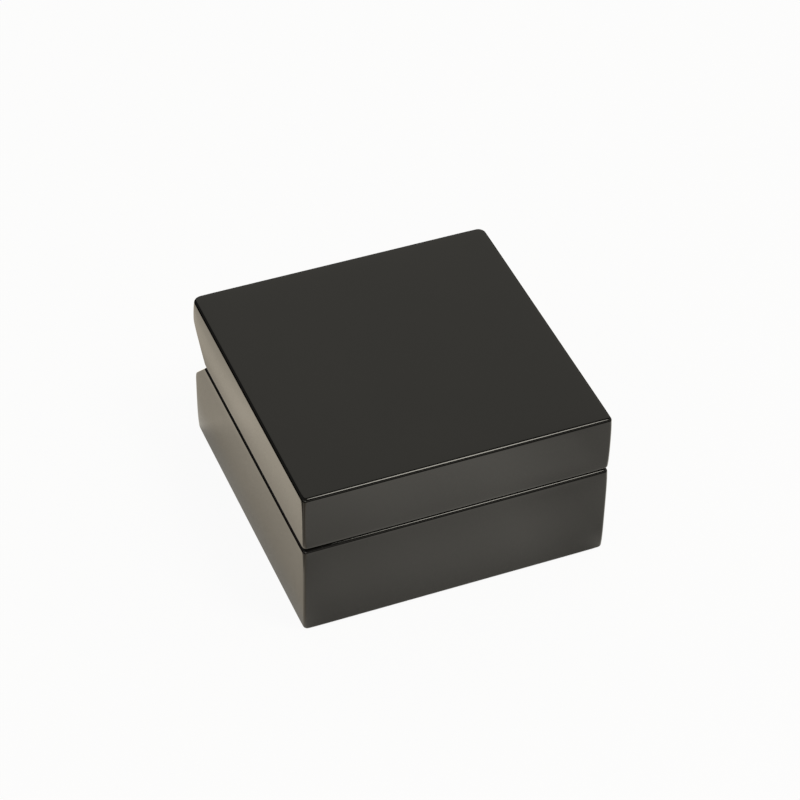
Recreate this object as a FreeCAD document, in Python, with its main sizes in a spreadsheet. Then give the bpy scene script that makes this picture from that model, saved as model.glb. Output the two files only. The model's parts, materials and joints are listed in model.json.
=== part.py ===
"""Square lacquered wooden box whose hinged lid carries a quartz alarm clock.

The frame has X to the right, Y to the back and Z up, with the origin on the
table under the middle of the box. The lid is drawn closed, so the dial looks
down into the base. All lengths are millimetres.
"""

import FreeCAD, Part
import math
import os

import Sketcher

# Driving sizes. Each one has a cell of the sheet, under the same name.
SIZES = {
    # Outside of the box
    "box_width": 100.0,
    "box_depth": 100.0,
    "base_height": 33.75,
    "seam_gap": 0.1,
    "edge_round": 1.2,
    "rim_round": 0.5,
    # V groove along the back, where lid and base are bevelled
    "groove_leg": 10.8,
    "base_nose_round": 1.5,
    "lid_nose_round": 2.5,
    "groove_heel_round": 2.0,
    # Boards
    "wall": 8.0,
    "top_thickness": 5.0,
    "lid_room": 1.05,
    "floor_thickness": 4.0,
    # Felt under the base
    "felt_thickness": 1.0,
    "felt_proud": 0.4,
    "felt_margin": 4.0,
    # Lining of the base
    "lining": 1.5,
    "lining_drop": 0.75,
    # Panel that holds the clock
    "panel_recess": 1.5,
    "suede": 0.5,
    "panel_board": 2.5,
    "panel_play": 0.1,
    "hole_radius": 27.5,
    "corner_block": 8.0,
    # Hinges
    "hinge_inset": 20.0,
    "leaf_width": 20.0,
    "leaf_depth": 4.6,
    "leaf_margin": 0.9,
    "leaf_thickness": 1.0,
    "leaf_sink": 0.1,
    "mortise_play": 0.05,
    "knuckle_radius": 1.6,
    "knuckle_play": 0.15,
    "knuckle_relief": 0.3,
    "pin_radius": 0.8,
    "pin_play": 0.03,
    "pin_end": 0.4,
    "axis_setback": 0.2,
    # Wood screws
    "screw_radius": 0.8,
    "screw_head_radius": 1.5,
    "screw_head_height": 0.7,
    "screw_length": 6.0,
    "screw_point": 1.2,
    "screw_spacing": 12.0,
    # Bezel, lens and dial
    "bezel_overlap": 3.5,
    "bezel_height": 4.0,
    "bezel_edge": 0.9,
    "bezel_slope": 2.6,
    "bezel_crown_width": 1.4,
    "bezel_lift": 0.05,
    "bezel_soften": 0.5,
    "sight_lip": 0.95,
    "lens_thickness": 1.2,
    "lens_sink": 1.6,
    "press_play": 0.05,
    "dial_sink": 1.9,
    "dial_thickness": 0.4,
    "dial_lip": 1.5,
    # Case of the movement
    "grip_room": 1.0,
    "case_wall": 1.0,
    "case_room": 1.0,
    "back_thickness": 1.2,
    "case_chamfer": 0.6,
    "grip_play": 0.1,
    "grip_start": 0.7,
    "grip_width": 1.6,
    "plate_thickness": 1.0,
    "pivot_depth": 0.4,
    "running_play": 0.05,
    # Case screws and their bosses
    "case_screw_radius": 0.7,
    "case_screw_head": 1.4,
    "case_screw_head_height": 0.8,
    "case_screw_inset": 3.0,
    "case_boss_radius": 1.7,
    "case_screw_bite": 0.8,
    # Hands
    "hand_thickness": 0.2,
    "hand_spacing": 0.5,
    "hand_lift": 0.35,
    "hour_margin": 10.4,
    "hour_width": 2.0,
    "minute_margin": 3.9,
    "minute_width": 1.5,
    "second_margin": 2.4,
    "second_width": 0.5,
    "second_tail": 6.0,
    "alarm_margin": 12.9,
    "alarm_width": 0.9,
    "second_arbor": 0.4,
    "pipe_wall": 0.35,
    "hub_wall": 0.9,
    # Hands at rest, in degrees clockwise from twelve: 10:09:36, alarm at six
    "hour_angle": 304.8,
    "minute_angle": 57.6,
    "second_angle": 216.0,
    "alarm_angle": 180.0,
    # Train wheels
    "wheel_thickness": 0.5,
    "level_spacing": 0.8,
    "level_start": 0.2,
    "arbor_radius": 0.25,
    "tooth_tip": 0.7,
    "tooth_root": 0.95,
    "tooth_thin": 0.86,
    "tooth_slope": 20.0,
    "transfer_distance": 4.0,
    "transfer_post": 0.35,
    "transfer_sleeve": 0.25,
    "third_distance": 5.5,
    "intermediate_distance": 5.8,
    "rotor_distance": 3.5,
    "alarm_distance": 6.0,
    # Setting knobs on the back
    "knob_radius": 3.5,
    "knob_height": 2.2,
    "knob_lift": 0.2,
    "knob_chamfer": 0.4,
    "knob_shaft": 0.6,
    # Stepping motor
    "rotor_radius": 1.6,
    "rotor_length": 1.6,
    "rotor_air": 0.3,
    "stator_ring": 0.9,
    "stator_thickness": 0.8,
    "stator_half_width": 9.0,
    "stator_limb": 2.0,
    "coil_distance": 6.7,
    "coil_length": 12.0,
    "coil_radius": 2.2,
    # Cell, contacts and cover
    "cell_radius": 5.8,
    "cell_height": 5.4,
    "cell_side_room": 4.4,
    "cell_rise": 5.5,
    "cell_play": 0.2,
    "well_wall": 0.6,
    "well_depth": 2.8,
    "contact_thickness": 0.25,
    "contact_width": 3.0,
    "contact_room": 0.7,
    "cover_lap": 0.7,
    "cover_thickness": 1.0,
    "cover_play": 0.1,
    "cover_rail": 1.0,
    "cover_rib": 0.3,
    # Circuit board, crystal, buzzer and alarm switch
    "board_margin": 4.5,
    "board_right": 10.0,
    "board_front": 4.0,
    "board_back": 12.0,
    "board_thickness": 0.8,
    "chip_radius": 2.5,
    "chip_height": 0.7,
    "crystal_radius": 1.0,
    "crystal_length": 6.0,
    "crystal_margin": 2.0,
    "crystal_y": 2.0,
    "buzzer_radius": 5.5,
    "buzzer_thickness": 0.4,
    "buzzer_room": 0.3,
    "buzzer_y": 9.0,
    "sound_hole": 0.5,
    "sound_circle": 2.2,
    "switch_x": 15.0,
    "switch_y": 9.0,
    "switch_stem": 1.6,
    "switch_length": 5.0,
    "switch_width": 3.0,
    "switch_height": 1.1,
    "switch_travel": 2.0,
    "switch_play": 0.1,
}

# Tooth counts. The wheels of a pair turn in the ratio of their counts.
TEETH = {
    "rotor_pinion_teeth": 8,
    "intermediate_wheel_teeth": 48,
    "intermediate_pinion_teeth": 12,
    "second_wheel_teeth": 60,
    "second_pinion_teeth": 8,
    "third_wheel_teeth": 60,
    "third_pinion_teeth": 8,
    "minute_wheel_teeth": 64,
    "cannon_pinion_teeth": 12,
    "transfer_wheel_teeth": 36,
    "transfer_pinion_teeth": 10,
    "hour_wheel_teeth": 40,
    "time_set_pinion_teeth": 12,
    "alarm_wheel_teeth": 32,
    "alarm_set_pinion_teeth": 28,
}

# Plan directions in degrees, from a wheel's axis to its mate's
RIGHT = 0.0
BACK = 90.0
LEFT = 180.0
FRONT = 270.0

CASE_SCREW_ANGLES = (90.0, 210.0, 330.0)
SOUND_HOLES = 5
COVER_RIBS = 5
LAST_LEVEL = 6

doc = FreeCAD.newDocument("clock_box")
sheet = doc.addObject("Spreadsheet::Sheet", "sizes")
for row, (alias, number) in enumerate(SIZES.items(), 1):
    sheet.set(f"A{row}", alias)
    sheet.set(f"B{row}", str(number))
    sheet.setAlias(f"B{row}", alias)
doc.recompute()


class Size:
    """A number together with the sheet formula that gives it."""

    def __init__(self, number, formula):
        self.number = number
        self.formula = formula

    def __add__(self, other):
        other = size(other)
        return Size(self.number + other.number, f"({self.formula} + {other.formula})")

    def __radd__(self, other):
        return size(other) + self

    def __sub__(self, other):
        other = size(other)
        return Size(self.number - other.number, f"({self.formula} - {other.formula})")

    def __rsub__(self, other):
        return size(other) - self

    def __mul__(self, other):
        other = size(other)
        return Size(self.number * other.number, f"({self.formula} * {other.formula})")

    def __rmul__(self, other):
        return size(other) * self

    def __truediv__(self, other):
        other = size(other)
        return Size(self.number / other.number, f"({self.formula} / {other.formula})")

    def __neg__(self):
        return size(0) - self


def size(value):
    """value as a Size, so that plain numbers and sheet sizes mix in one sum."""
    if isinstance(value, Size):
        return value
    return Size(float(value), f"({float(value)})")


class Sizes:
    """Gives each cell of the sheet by its name, as in S.box_width."""

    def __getattr__(self, name):
        return Size(SIZES[name], f"sizes.{name}")


S = Sizes()

# Frame of the clock: on the dial's axis, at the suede face, with Z into the lid
panel_back = S.suede + S.panel_board
glass_front = -S.bezel_height + S.lens_sink
glass_back = glass_front + S.lens_thickness
dial_back = S.dial_sink + S.dial_thickness
plate_back = dial_back + S.plate_thickness
cell_bottom = plate_back + S.contact_thickness


def level(order):
    """Near face of a wheel, counted from the plate behind the dial."""
    return plate_back + S.level_start + S.level_spacing * order


back_inner = level(LAST_LEVEL) + S.wheel_thickness + S.case_room
case_depth = back_inner + S.back_thickness

# Heights in the box. The seam is the middle of the gap between the two rims, and
# the lid is as high as the clock and its knobs need.
lid_height = S.panel_recess + case_depth + S.knob_lift + S.knob_height + S.lid_room + S.top_thickness
base_bottom = S.felt_proud
base_rim = base_bottom + S.base_height
seam = base_rim + S.seam_gap / 2
lid_rim = base_rim + S.seam_gap
lid_top = lid_rim + lid_height
top_under = lid_top - S.top_thickness
floor_under = S.felt_thickness
floor_top = floor_under + S.floor_thickness
lining_top = floor_top + S.lining

# Plan of the box. The back wall is as thick as the groove and the hinge leaves need.
half_width = S.box_width / 2
half_depth = S.box_depth / 2
nose_y = half_depth - S.groove_leg
axis_y = nose_y + S.axis_setback
leaf_back = axis_y - S.knuckle_radius - S.knuckle_relief
leaf_front = leaf_back - S.leaf_depth
inside_x = half_width - S.wall
inside_front = -half_depth + S.wall
inside_back = leaf_front - S.leaf_margin

# Where the clock sits
clock_y = (inside_front + inside_back) / 2
face_z = lid_rim + S.panel_recess

# Radii of the clock, inward and outward from the hole in the panel
bezel_radius = S.hole_radius + S.bezel_overlap
bezel_crown = bezel_radius - S.bezel_slope
case_radius = S.hole_radius - S.grip_room
tube_inner = case_radius - S.case_wall
seat_radius = tube_inner - S.press_play * 3
sight_radius = seat_radius - S.sight_lip
dial_radius = sight_radius - S.dial_lip
case_screw_circle = tube_inner - S.case_screw_inset


class Frame:
    """A place that pieces are measured from."""

    def __init__(self, x, y, z):
        self.x = size(x)
        self.y = size(y)
        self.z = size(z)


BOX = Frame(0, 0, 0)
CLOCK = Frame(0, clock_y, face_z)
nodes = []


def bind(thing, path, value):
    """Hold one property of thing to the sheet."""
    thing.setExpression(path, size(value).formula)


def put(thing, frame, x=0, y=0, z=0):
    """Place thing at x, y, z of frame."""
    bind(thing, "Placement.Base.x", frame.x + x)
    bind(thing, "Placement.Base.y", frame.y + y)
    bind(thing, "Placement.Base.z", frame.z + z)
    return thing


def node(name, thing):
    """Name thing as a finished piece."""
    thing.Label = name
    nodes.append(thing)
    return thing


def block(frame, x, y, z):
    """A box between two ends along each axis."""
    thing = doc.addObject("Part::Box", "block")
    bind(thing, "Length", size(x[1]) - x[0])
    bind(thing, "Width", size(y[1]) - y[0])
    bind(thing, "Height", size(z[1]) - z[0])
    return put(thing, frame, x[0], y[0], z[0])


def rod(frame, radius, z, x=0, y=0):
    """An upright cylinder between two heights."""
    thing = doc.addObject("Part::Cylinder", "rod")
    bind(thing, "Radius", radius)
    bind(thing, "Height", size(z[1]) - z[0])
    return put(thing, frame, x, y, z[0])


def bar(frame, radius, x, y, z):
    """A cylinder that lies along X."""
    thing = doc.addObject("Part::Cylinder", "bar")
    thing.Placement.Rotation = FreeCAD.Rotation(FreeCAD.Vector(0, 1, 0), 90)
    bind(thing, "Radius", radius)
    bind(thing, "Height", size(x[1]) - x[0])
    return put(thing, frame, x[0], y, z)


def fuse(parts):
    """Several solids as one."""
    thing = doc.addObject("Part::MultiFuse", "fusion")
    thing.Shapes = parts
    return thing


def group(parts):
    """Several separate solids in one piece."""
    thing = doc.addObject("Part::Compound", "group")
    thing.Links = parts
    return thing


def cut(base, tools):
    """base without the tools."""
    thing = doc.addObject("Part::Cut", "cut")
    thing.Base = base
    thing.Tool = tools[0] if len(tools) == 1 else fuse(tools)
    return thing


def common(base, tool):
    """What base and tool share."""
    thing = doc.addObject("Part::Common", "common")
    thing.Base = base
    thing.Tool = tool
    return thing


def plane(body, role):
    """The body's own origin plane."""
    return next(face for face in body.Origin.OriginFeatures if face.Role == role)


def outline(body, role, corners):
    """A closed sketch of straight sides whose corners are held to the sheet."""
    sketch = body.newObject("Sketcher::SketchObject", "outline")
    sketch.AttachmentSupport = [(plane(body, role), "")]
    sketch.MapMode = "FlatFace"
    corners = [(size(a), size(b)) for a, b in corners]
    points = [FreeCAD.Vector(a.number, b.number, 0) for a, b in corners]
    for index, point in enumerate(points):
        following = points[(index + 1) % len(points)]
        sketch.addGeometry(Part.LineSegment(point, following), False)
    for index in range(len(points)):
        following = (index + 1) % len(points)
        sketch.addConstraint(Sketcher.Constraint("Coincident", index, 2, following, 1))
    for index, corner in enumerate(corners):
        for kind, value in zip(("DistanceX", "DistanceY"), corner):
            rule = Sketcher.Constraint(kind, -1, 1, index, 1, value.number)
            bind(sketch, f"Constraints[{sketch.addConstraint(rule)}]", value)
    return sketch


def turned(frame, profile, x=0, y=0, z=0):
    """A solid turned about an upright axis from a profile of radius and height."""
    body = doc.addObject("PartDesign::Body", "turned")
    sketch = outline(body, "XZ_Plane", profile)
    turn = body.newObject("PartDesign::Revolution", "turn")
    turn.Profile = sketch
    turn.ReferenceAxis = (sketch, ["V_Axis"])
    turn.Angle = 360
    return put(body, frame, x, y, z)


def slab(frame, corners, z):
    """An upright prism over a plan outline, between two heights."""
    body = doc.addObject("PartDesign::Body", "slab")
    sketch = outline(body, "XY_Plane", corners)
    pad = body.newObject("PartDesign::Pad", "pad")
    pad.Profile = sketch
    bind(pad, "Length", size(z[1]) - z[0])
    return put(body, frame, 0, 0, z[0])


def lengthwise(frame, corners, x):
    """A prism along X over an outline in Y and Z."""
    body = doc.addObject("PartDesign::Body", "lengthwise")
    sketch = outline(body, "YZ_Plane", corners)
    pad = body.newObject("PartDesign::Pad", "pad")
    pad.Profile = sketch
    bind(pad, "Length", size(x[1]) - x[0])
    return put(body, frame, x[0], 0, 0)


def rounded(base, radius_of):
    """base with rounded edges. radius_of names each edge's radius, or 0 for none."""
    doc.recompute()
    thing = doc.addObject("Part::Fillet", "rounded")
    thing.Base = base
    picks = []
    for number, edge in enumerate(base.Shape.Edges, 1):
        middle = edge.valueAt((edge.FirstParameter + edge.LastParameter) / 2)
        along = edge.tangentAt(edge.FirstParameter)
        radius = size(radius_of(middle, along)).number
        if radius > 0:
            picks.append((number, radius, radius))
    thing.Edges = picks
    return thing


def near(a, b):
    """Whether a coordinate lies on a size."""
    return abs(a - size(b).number) < 1e-4


# Outer shells of base and lid


def shell(low, high, rim, outward, nose_round):
    """A box bevelled at the back from its rim, with every outer edge rounded.

    outward is +1 where the bevel climbs away from the rim and -1 where it falls.
    """
    whole = block(BOX, (-half_width, half_width), (-half_depth, half_depth), (low, high))
    spare = S.groove_leg
    heel = rim + outward * S.groove_leg
    wedge = lengthwise(
        BOX,
        [
            (nose_y - spare, rim - outward * spare),
            (half_depth + spare, rim + outward * (S.groove_leg + spare)),
            (half_depth + spare, rim - outward * spare),
        ],
        (-half_width - spare, half_width + spare),
    )

    def radius_of(middle, along):
        if abs(along.y) > 0.1 and abs(along.z) > 0.1:
            return S.rim_round
        if near(middle.z, rim) and near(middle.y, nose_y):
            return nose_round
        if near(middle.z, heel) and near(middle.y, half_depth):
            return S.groove_heel_round
        if near(middle.z, rim):
            return S.rim_round
        return S.edge_round

    return rounded(cut(whole, [wedge]), radius_of)


def rail_plans():
    """Plan outlines of the four rails: mitred at the front, butted to the back rail."""
    over = S.wall
    left, right = -half_width - over, half_width + over
    front = -half_depth - over
    return {
        "front": [(left, front), (right, front), (inside_x, inside_front), (-inside_x, inside_front)],
        "left": [(left, front), (-inside_x, inside_front), (-inside_x, inside_back), (left, inside_back)],
        "right": [(right, front), (right, inside_back), (inside_x, inside_back), (inside_x, inside_front)],
        "back": [
            (left, inside_back),
            (right, inside_back),
            (right, half_depth + over),
            (left, half_depth + over),
        ],
    }


# Hinges

hinge_x = half_width - S.hinge_inset
knuckle_pitch = S.leaf_width / 5
screw_y = (leaf_front + leaf_back) / 2
relief_radius = S.knuckle_radius + S.knuckle_relief
base_leaf_top = base_rim - S.leaf_sink
lid_leaf_under = lid_rim + S.leaf_sink


def wood_screw(x, y, z, way):
    """A countersunk screw whose head is flush with height z; way is its sense along Z."""
    tip = S.screw_length - S.screw_point
    profile = [
        (0, 0),
        (S.screw_head_radius, 0),
        (S.screw_radius, way * S.screw_head_height),
        (S.screw_radius, way * tip),
        (0, way * S.screw_length),
    ]
    return turned(BOX, profile, x, y, z)


def leaf(centre, z, fixed, screws):
    """A hinge leaf: the plate, its rolled knuckles and the tongues between them."""
    start = centre - S.leaf_width / 2
    plate = block(BOX, (start, start + S.leaf_width), (leaf_front, leaf_back), z)
    parts = [plate]
    for index in (0, 2, 4) if fixed else (1, 3):
        low = start + knuckle_pitch * index
        high = low + knuckle_pitch
        if not fixed:
            low = low + S.knuckle_play
            high = high - S.knuckle_play
        parts.append(block(BOX, (low, high), (leaf_back, axis_y), z))
        parts.append(bar(BOX, S.knuckle_radius, (low, high), axis_y, seam))
    bore = S.pin_radius if fixed else S.pin_radius + S.pin_play
    hole = bar(BOX, bore, (start, start + S.leaf_width), axis_y, seam)
    return cut(fuse(parts), [hole] + screws)


def mortise(centre, z):
    """The pocket of a leaf and the hollow in which its knuckles turn."""
    half = S.leaf_width / 2 + S.mortise_play
    hollow = S.leaf_width / 2 + S.pin_end + S.mortise_play
    pocket = block(BOX, (centre - half, centre + half), (leaf_front - S.mortise_play, axis_y), z)
    return [pocket, bar(BOX, relief_radius, (centre - hollow, centre + hollow), axis_y, seam)]


def hinges():
    """Both butt hinges. Returns what the two back rails lose to them."""
    base_tools = []
    lid_tools = []
    base_screws = []
    lid_screws = []
    for side, way in (("left", -1), ("right", 1)):
        centre = hinge_x * way
        places = [centre - S.screw_spacing / 2, centre + S.screw_spacing / 2]
        down = [wood_screw(x, screw_y, base_leaf_top, -1) for x in places]
        up = [wood_screw(x, screw_y, lid_leaf_under, 1) for x in places]
        base_z = (base_leaf_top - S.leaf_thickness, base_leaf_top)
        lid_z = (lid_leaf_under, lid_leaf_under + S.leaf_thickness)
        node(f"hinge_{side}_base_leaf", leaf(centre, base_z, True, down))
        node(f"hinge_{side}_lid_leaf", leaf(centre, lid_z, False, up))
        reach = S.leaf_width / 2 + S.pin_end
        pin = bar(BOX, S.pin_radius, (centre - reach, centre + reach), axis_y, seam)
        node(f"hinge_{side}_pin", pin)
        base_tools += mortise(centre, (base_z[0], seam)) + down
        lid_tools += mortise(centre, (seam, lid_z[1])) + up
        base_screws += down
        lid_screws += up
    node("hinge_base_screws", group(base_screws))
    node("hinge_lid_screws", group(lid_screws))
    return base_tools, lid_tools


# Base and lid


def rails(part, outer, z, back_tools, extra_tools):
    """The four rails of base or lid, cut from its rounded outer shell."""
    for side, plan in rail_plans().items():
        rail = common(outer, slab(BOX, plan, z))
        tools = list(extra_tools)
        if side == "back":
            tools += back_tools
        node(f"{part}_{side}_rail", cut(rail, tools) if tools else rail)


def base(back_tools):
    """Rails, floor and felt of the base."""
    felt_x = half_width - S.felt_margin
    felt_y = half_depth - S.felt_margin
    felt = block(BOX, (-felt_x, felt_x), (-felt_y, felt_y), (0, S.felt_thickness))
    outer = shell(base_bottom, base_rim, base_rim, -1, S.base_nose_round)
    rails("base", outer, (0, base_rim), back_tools, [felt])
    inside = ((-inside_x, inside_x), (inside_front, inside_back))
    node("base_floor_panel", block(BOX, *inside, (floor_under, floor_top)))
    node("underside_felt", felt)


def lining():
    """Suede-covered boards on the floor and the four walls of the base."""
    back_face = inside_back - S.lining
    front_face = inside_front + S.lining
    side_face = inside_x - S.lining
    wide = (-inside_x, inside_x)
    deep = (inside_front, inside_back)
    between = (front_face, back_face)
    tall = (lining_top, base_rim - S.lining_drop)
    node("base_lining_floor", block(BOX, wide, deep, (floor_top, lining_top)))
    node("base_lining_front", block(BOX, wide, (inside_front, front_face), tall))
    node("base_lining_back", block(BOX, wide, (back_face, inside_back), tall))
    node("base_lining_left", block(BOX, (-inside_x, -side_face), between, tall))
    node("base_lining_right", block(BOX, (side_face, inside_x), between, tall))


def lid(back_tools):
    """Top panel and rails of the lid."""
    outer = shell(lid_rim, lid_top, lid_rim, 1, S.lid_nose_round)
    spare = S.wall
    above = block(
        BOX,
        (-half_width - spare, half_width + spare),
        (-half_depth - spare, half_depth + spare),
        (top_under, lid_top + spare),
    )
    node("lid_top_panel", common(outer, above))
    rails("lid", outer, (lid_rim - spare, top_under), back_tools, [])


def clock_panel():
    """The board that holds the clock, its suede face and the blocks behind it."""
    reach_x = inside_x - S.panel_play
    reach_y = (inside_back - inside_front) / 2 - S.panel_play
    wide = (-reach_x, reach_x)
    deep = (-reach_y, reach_y)
    hole = rod(CLOCK, S.hole_radius, (-S.wall, S.wall))
    node("clock_panel", cut(block(CLOCK, wide, deep, (S.suede, panel_back)), [hole]))
    node("clock_panel_suede", cut(block(CLOCK, wide, deep, (0, S.suede)), [hole]))
    blocks = []
    height = (panel_back, top_under - face_z)
    for way_x in (-1, 1):
        for way_y in (-1, 1):
            x = sorted((reach_x * way_x, (reach_x - S.corner_block) * way_x), key=lambda v: v.number)
            y = sorted((reach_y * way_y, (reach_y - S.corner_block) * way_y), key=lambda v: v.number)
            blocks.append(block(CLOCK, x, y, height))
    node("panel_corner_blocks", group(blocks))


# Front of the clock


def bezel_and_lens():
    """Crowned metal ring with its lens, and the sloped ring round the dial."""
    lens_seat = seat_radius + S.press_play
    shoulder = (bezel_radius + bezel_crown) / 2
    profile = [
        (lens_seat, -S.bezel_lift),
        (bezel_radius, -S.bezel_lift),
        (bezel_radius, -S.bezel_edge),
        (shoulder, -S.bezel_height * 3 / 4),
        (bezel_crown, -S.bezel_height),
        (bezel_crown - S.bezel_crown_width, -S.bezel_height),
        (sight_radius, glass_front - S.bezel_soften),
        (sight_radius, glass_front),
        (lens_seat, glass_front),
    ]
    ring = turned(CLOCK, profile)
    crown_z = (face_z - S.bezel_height).number
    shoulder_z = (face_z - S.bezel_height * 3 / 4).number

    def radius_of(middle, along):
        on_crown = abs(middle.z - crown_z) < 1e-4 or abs(middle.z - shoulder_z) < 1e-4
        return S.bezel_soften if on_crown and abs(along.z) < 0.1 else 0

    node("clock_bezel", rounded(ring, radius_of))
    node("clock_lens", rod(CLOCK, seat_radius, (glass_front, glass_back)))
    slope = [
        (seat_radius, glass_back),
        (sight_radius, glass_back),
        (dial_radius, S.dial_sink),
        (seat_radius, S.dial_sink),
    ]
    node("dial_ring", turned(CLOCK, slope))


def hand_height(order):
    """Near face of a hand: order 0 lies next to the dial."""
    return S.dial_sink - S.hand_lift - S.hand_thickness - S.hand_spacing * order


def pipe_bore(order):
    """Bore of the nested pipes, counted outward from the second hand's arbor."""
    return S.second_arbor + S.running_play + (S.pipe_wall + S.running_play) * order


def pipe_outer(order):
    """Outer radius of a nested pipe."""
    return pipe_bore(order) + S.pipe_wall


def dial_and_grip():
    """Dial with its centre hole, and the rubber ring that grips the panel."""
    hole = rod(CLOCK, pipe_outer(2) + S.running_play, (S.dial_sink, dial_back))
    disc = rod(CLOCK, seat_radius, (S.dial_sink, dial_back))
    node("dial", cut(disc, [hole]))
    band = (S.grip_start, S.grip_start + S.grip_width)
    outer = rod(CLOCK, S.hole_radius - S.grip_play, band)
    node("grip_ring", cut(outer, [rod(CLOCK, case_radius, band)]))


# Train wheels


def teeth_of(name):
    """Tooth count of a wheel or pinion."""
    return TEETH[f"{name}_teeth"]


def toothed(teeth, pitch, thickness, first):
    """A wheel with straight-flanked teeth, the first one centred on an angle.

    The teeth are thinned for backlash. Their tips and roots stand off the pitch
    circle by a share of the module, and their flanks lean by the slope.
    """
    module = 2 * pitch / teeth
    half = SIZES["tooth_thin"] * math.pi * module / 4
    lean = math.tan(math.radians(SIZES["tooth_slope"]))
    tip = SIZES["tooth_tip"] * module
    root = SIZES["tooth_root"] * module
    flank = ((-half - lean * root, -root), (-half + lean * tip, tip))
    flank += ((half - lean * tip, tip), (half + lean * root, -root))
    corners = []
    for index in range(teeth):
        for across, outward in flank:
            radius = pitch + outward
            turn = first + 2 * math.pi * index / teeth + across / radius
            corners.append(FreeCAD.Vector(radius * math.cos(turn), radius * math.sin(turn), 0))
    wire = Part.makePolygon(corners + corners[:1])
    return Part.Face(wire).extrude(FreeCAD.Vector(0, 0, thickness))


def wheel(name, pitch, order, mate, x=0, y=0):
    """A wheel or pinion at its place, in mesh with its mate in a plan direction.

    A wheel turns a tooth towards its mate, and a pinion a gap.
    """
    first = math.radians(mate)
    if name.endswith("pinion"):
        first += math.pi / teeth_of(name)
    thing = doc.addObject("Part::Feature", "wheel")
    thing.Shape = toothed(teeth_of(name), size(pitch).number, S.wheel_thickness.number, first)
    return put(thing, CLOCK, x, y, level(order))


def pair(distance, inner, outer):
    """Pitch radii of two wheels that mesh over a distance between their axes."""
    total = teeth_of(inner) + teeth_of(outer)
    return distance * (teeth_of(inner) / total), distance * (teeth_of(outer) / total)


cannon_pitch, transfer_pitch = pair(S.transfer_distance, "cannon_pinion", "transfer_wheel")
hour_pitch, transfer_pinion_pitch = pair(S.transfer_distance, "hour_wheel", "transfer_pinion")
minute_pitch, third_pinion_pitch = pair(S.third_distance, "minute_wheel", "third_pinion")
second_pinion_pitch, third_pitch = pair(S.third_distance, "second_pinion", "third_wheel")
second_pitch, idler_pinion_pitch = pair(S.intermediate_distance, "second_wheel", "intermediate_pinion")
idler_pitch, rotor_pitch = pair(S.rotor_distance, "intermediate_wheel", "rotor_pinion")
alarm_pitch, alarm_set_pitch = pair(S.alarm_distance, "alarm_wheel", "alarm_set_pinion")
time_set_pitch = transfer_pitch * (teeth_of("time_set_pinion") / teeth_of("transfer_wheel"))

# Axes of the movement in the clock's frame
transfer_x = -S.transfer_distance
time_set_x = transfer_x - transfer_pitch - time_set_pitch
alarm_set_x = S.alarm_distance
third_y = S.third_distance
idler_y = -S.intermediate_distance
rotor_y = idler_y - S.rotor_distance
pivot_front = plate_back - S.pivot_depth
pivot_back = back_inner + S.pivot_depth

# Cell, board and buzzer, clear of the wheels and of the screw bosses
well_radius = S.cell_radius + S.cell_play
cell_x = S.cell_side_room + well_radius + S.well_wall
cell_y = third_y + S.cell_rise
cover_half = well_radius + S.cover_lap
board_left = tube_inner - S.board_margin
crystal_x = board_left - S.crystal_radius - S.crystal_margin
boss_x = case_screw_circle * math.cos(math.radians(CASE_SCREW_ANGLES[-1]))
buzzer_x = boss_x - S.case_boss_radius - S.buzzer_radius - S.buzzer_room


def hand(name, order, pipe_radius, blade, hub, angle):
    """A hand pressed on its pipe and turned clockwise from twelve, which is at -Y."""
    flat = (0, S.hand_thickness)
    local = Frame(0, 0, 0)
    parts = [slab(local, blade, flat), rod(local, hub, flat)]
    thing = cut(fuse(parts), [rod(local, pipe_radius, flat)])
    thing.Placement.Rotation = FreeCAD.Rotation(FreeCAD.Vector(0, 0, 1), 1)
    bind(thing, "Placement.Rotation.Angle", angle)
    put(thing, CLOCK, 0, 0, hand_height(order))
    node(name, thing)


def baton(length, width):
    """A blade that narrows a little and ends in a point."""
    root = width / 2
    waist = width * 2 / 5
    return [(-root, 0), (-waist, width - length), (0, -length), (waist, width - length), (root, 0)]


def hands():
    """The four hands, each on its own pipe or arbor."""
    hub = S.hub_wall
    alarm = baton(dial_radius - S.alarm_margin, S.alarm_width)
    hand("alarm_hand", 0, pipe_outer(2), alarm, pipe_outer(2) + hub / 2, S.alarm_angle)
    hour = baton(dial_radius - S.hour_margin, S.hour_width)
    hand("hour_hand", 1, pipe_outer(1), hour, pipe_outer(1) + hub, S.hour_angle)
    minute = baton(dial_radius - S.minute_margin, S.minute_width)
    hand("minute_hand", 2, pipe_outer(0), minute, pipe_outer(0) + hub, S.minute_angle)
    half = S.second_width / 2
    reach = dial_radius - S.second_margin
    second = [(-half, S.second_tail), (-half / 2, -reach), (half / 2, -reach), (half, S.second_tail)]
    hand("second_hand", 3, S.second_arbor, second, S.second_arbor + hub, S.second_angle)


def pipe_wheel(name, pitch, order, mate, pipe, hand_order, extra=()):
    """A centre wheel on the pipe that carries its hand."""
    top = level(order) + S.wheel_thickness
    tube = rod(CLOCK, pipe_outer(pipe), (hand_height(hand_order), top))
    hole = rod(CLOCK, pipe_bore(pipe), (hand_height(hand_order), top))
    solid = fuse([wheel(name, pitch, order, mate), tube] + list(extra))
    node(name, cut(solid, [hole]))


def centre_wheels():
    """Alarm, hour, minute and second wheels on the dial's axis."""
    pipe_wheel("alarm_wheel", alarm_pitch, 0, RIGHT, 2, 0)
    pipe_wheel("hour_wheel", hour_pitch, 1, LEFT, 1, 1)
    cannon = wheel("cannon_pinion", cannon_pitch, 2, LEFT)
    pipe_wheel("minute_wheel", minute_pitch, 3, BACK, 0, 2, [cannon])
    arbor = rod(CLOCK, S.second_arbor, (hand_height(3), pivot_back))
    pinion = wheel("second_pinion", second_pinion_pitch, 4, BACK)
    node("second_wheel", fuse([wheel("second_wheel", second_pitch, 5, FRONT), pinion, arbor]))


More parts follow.
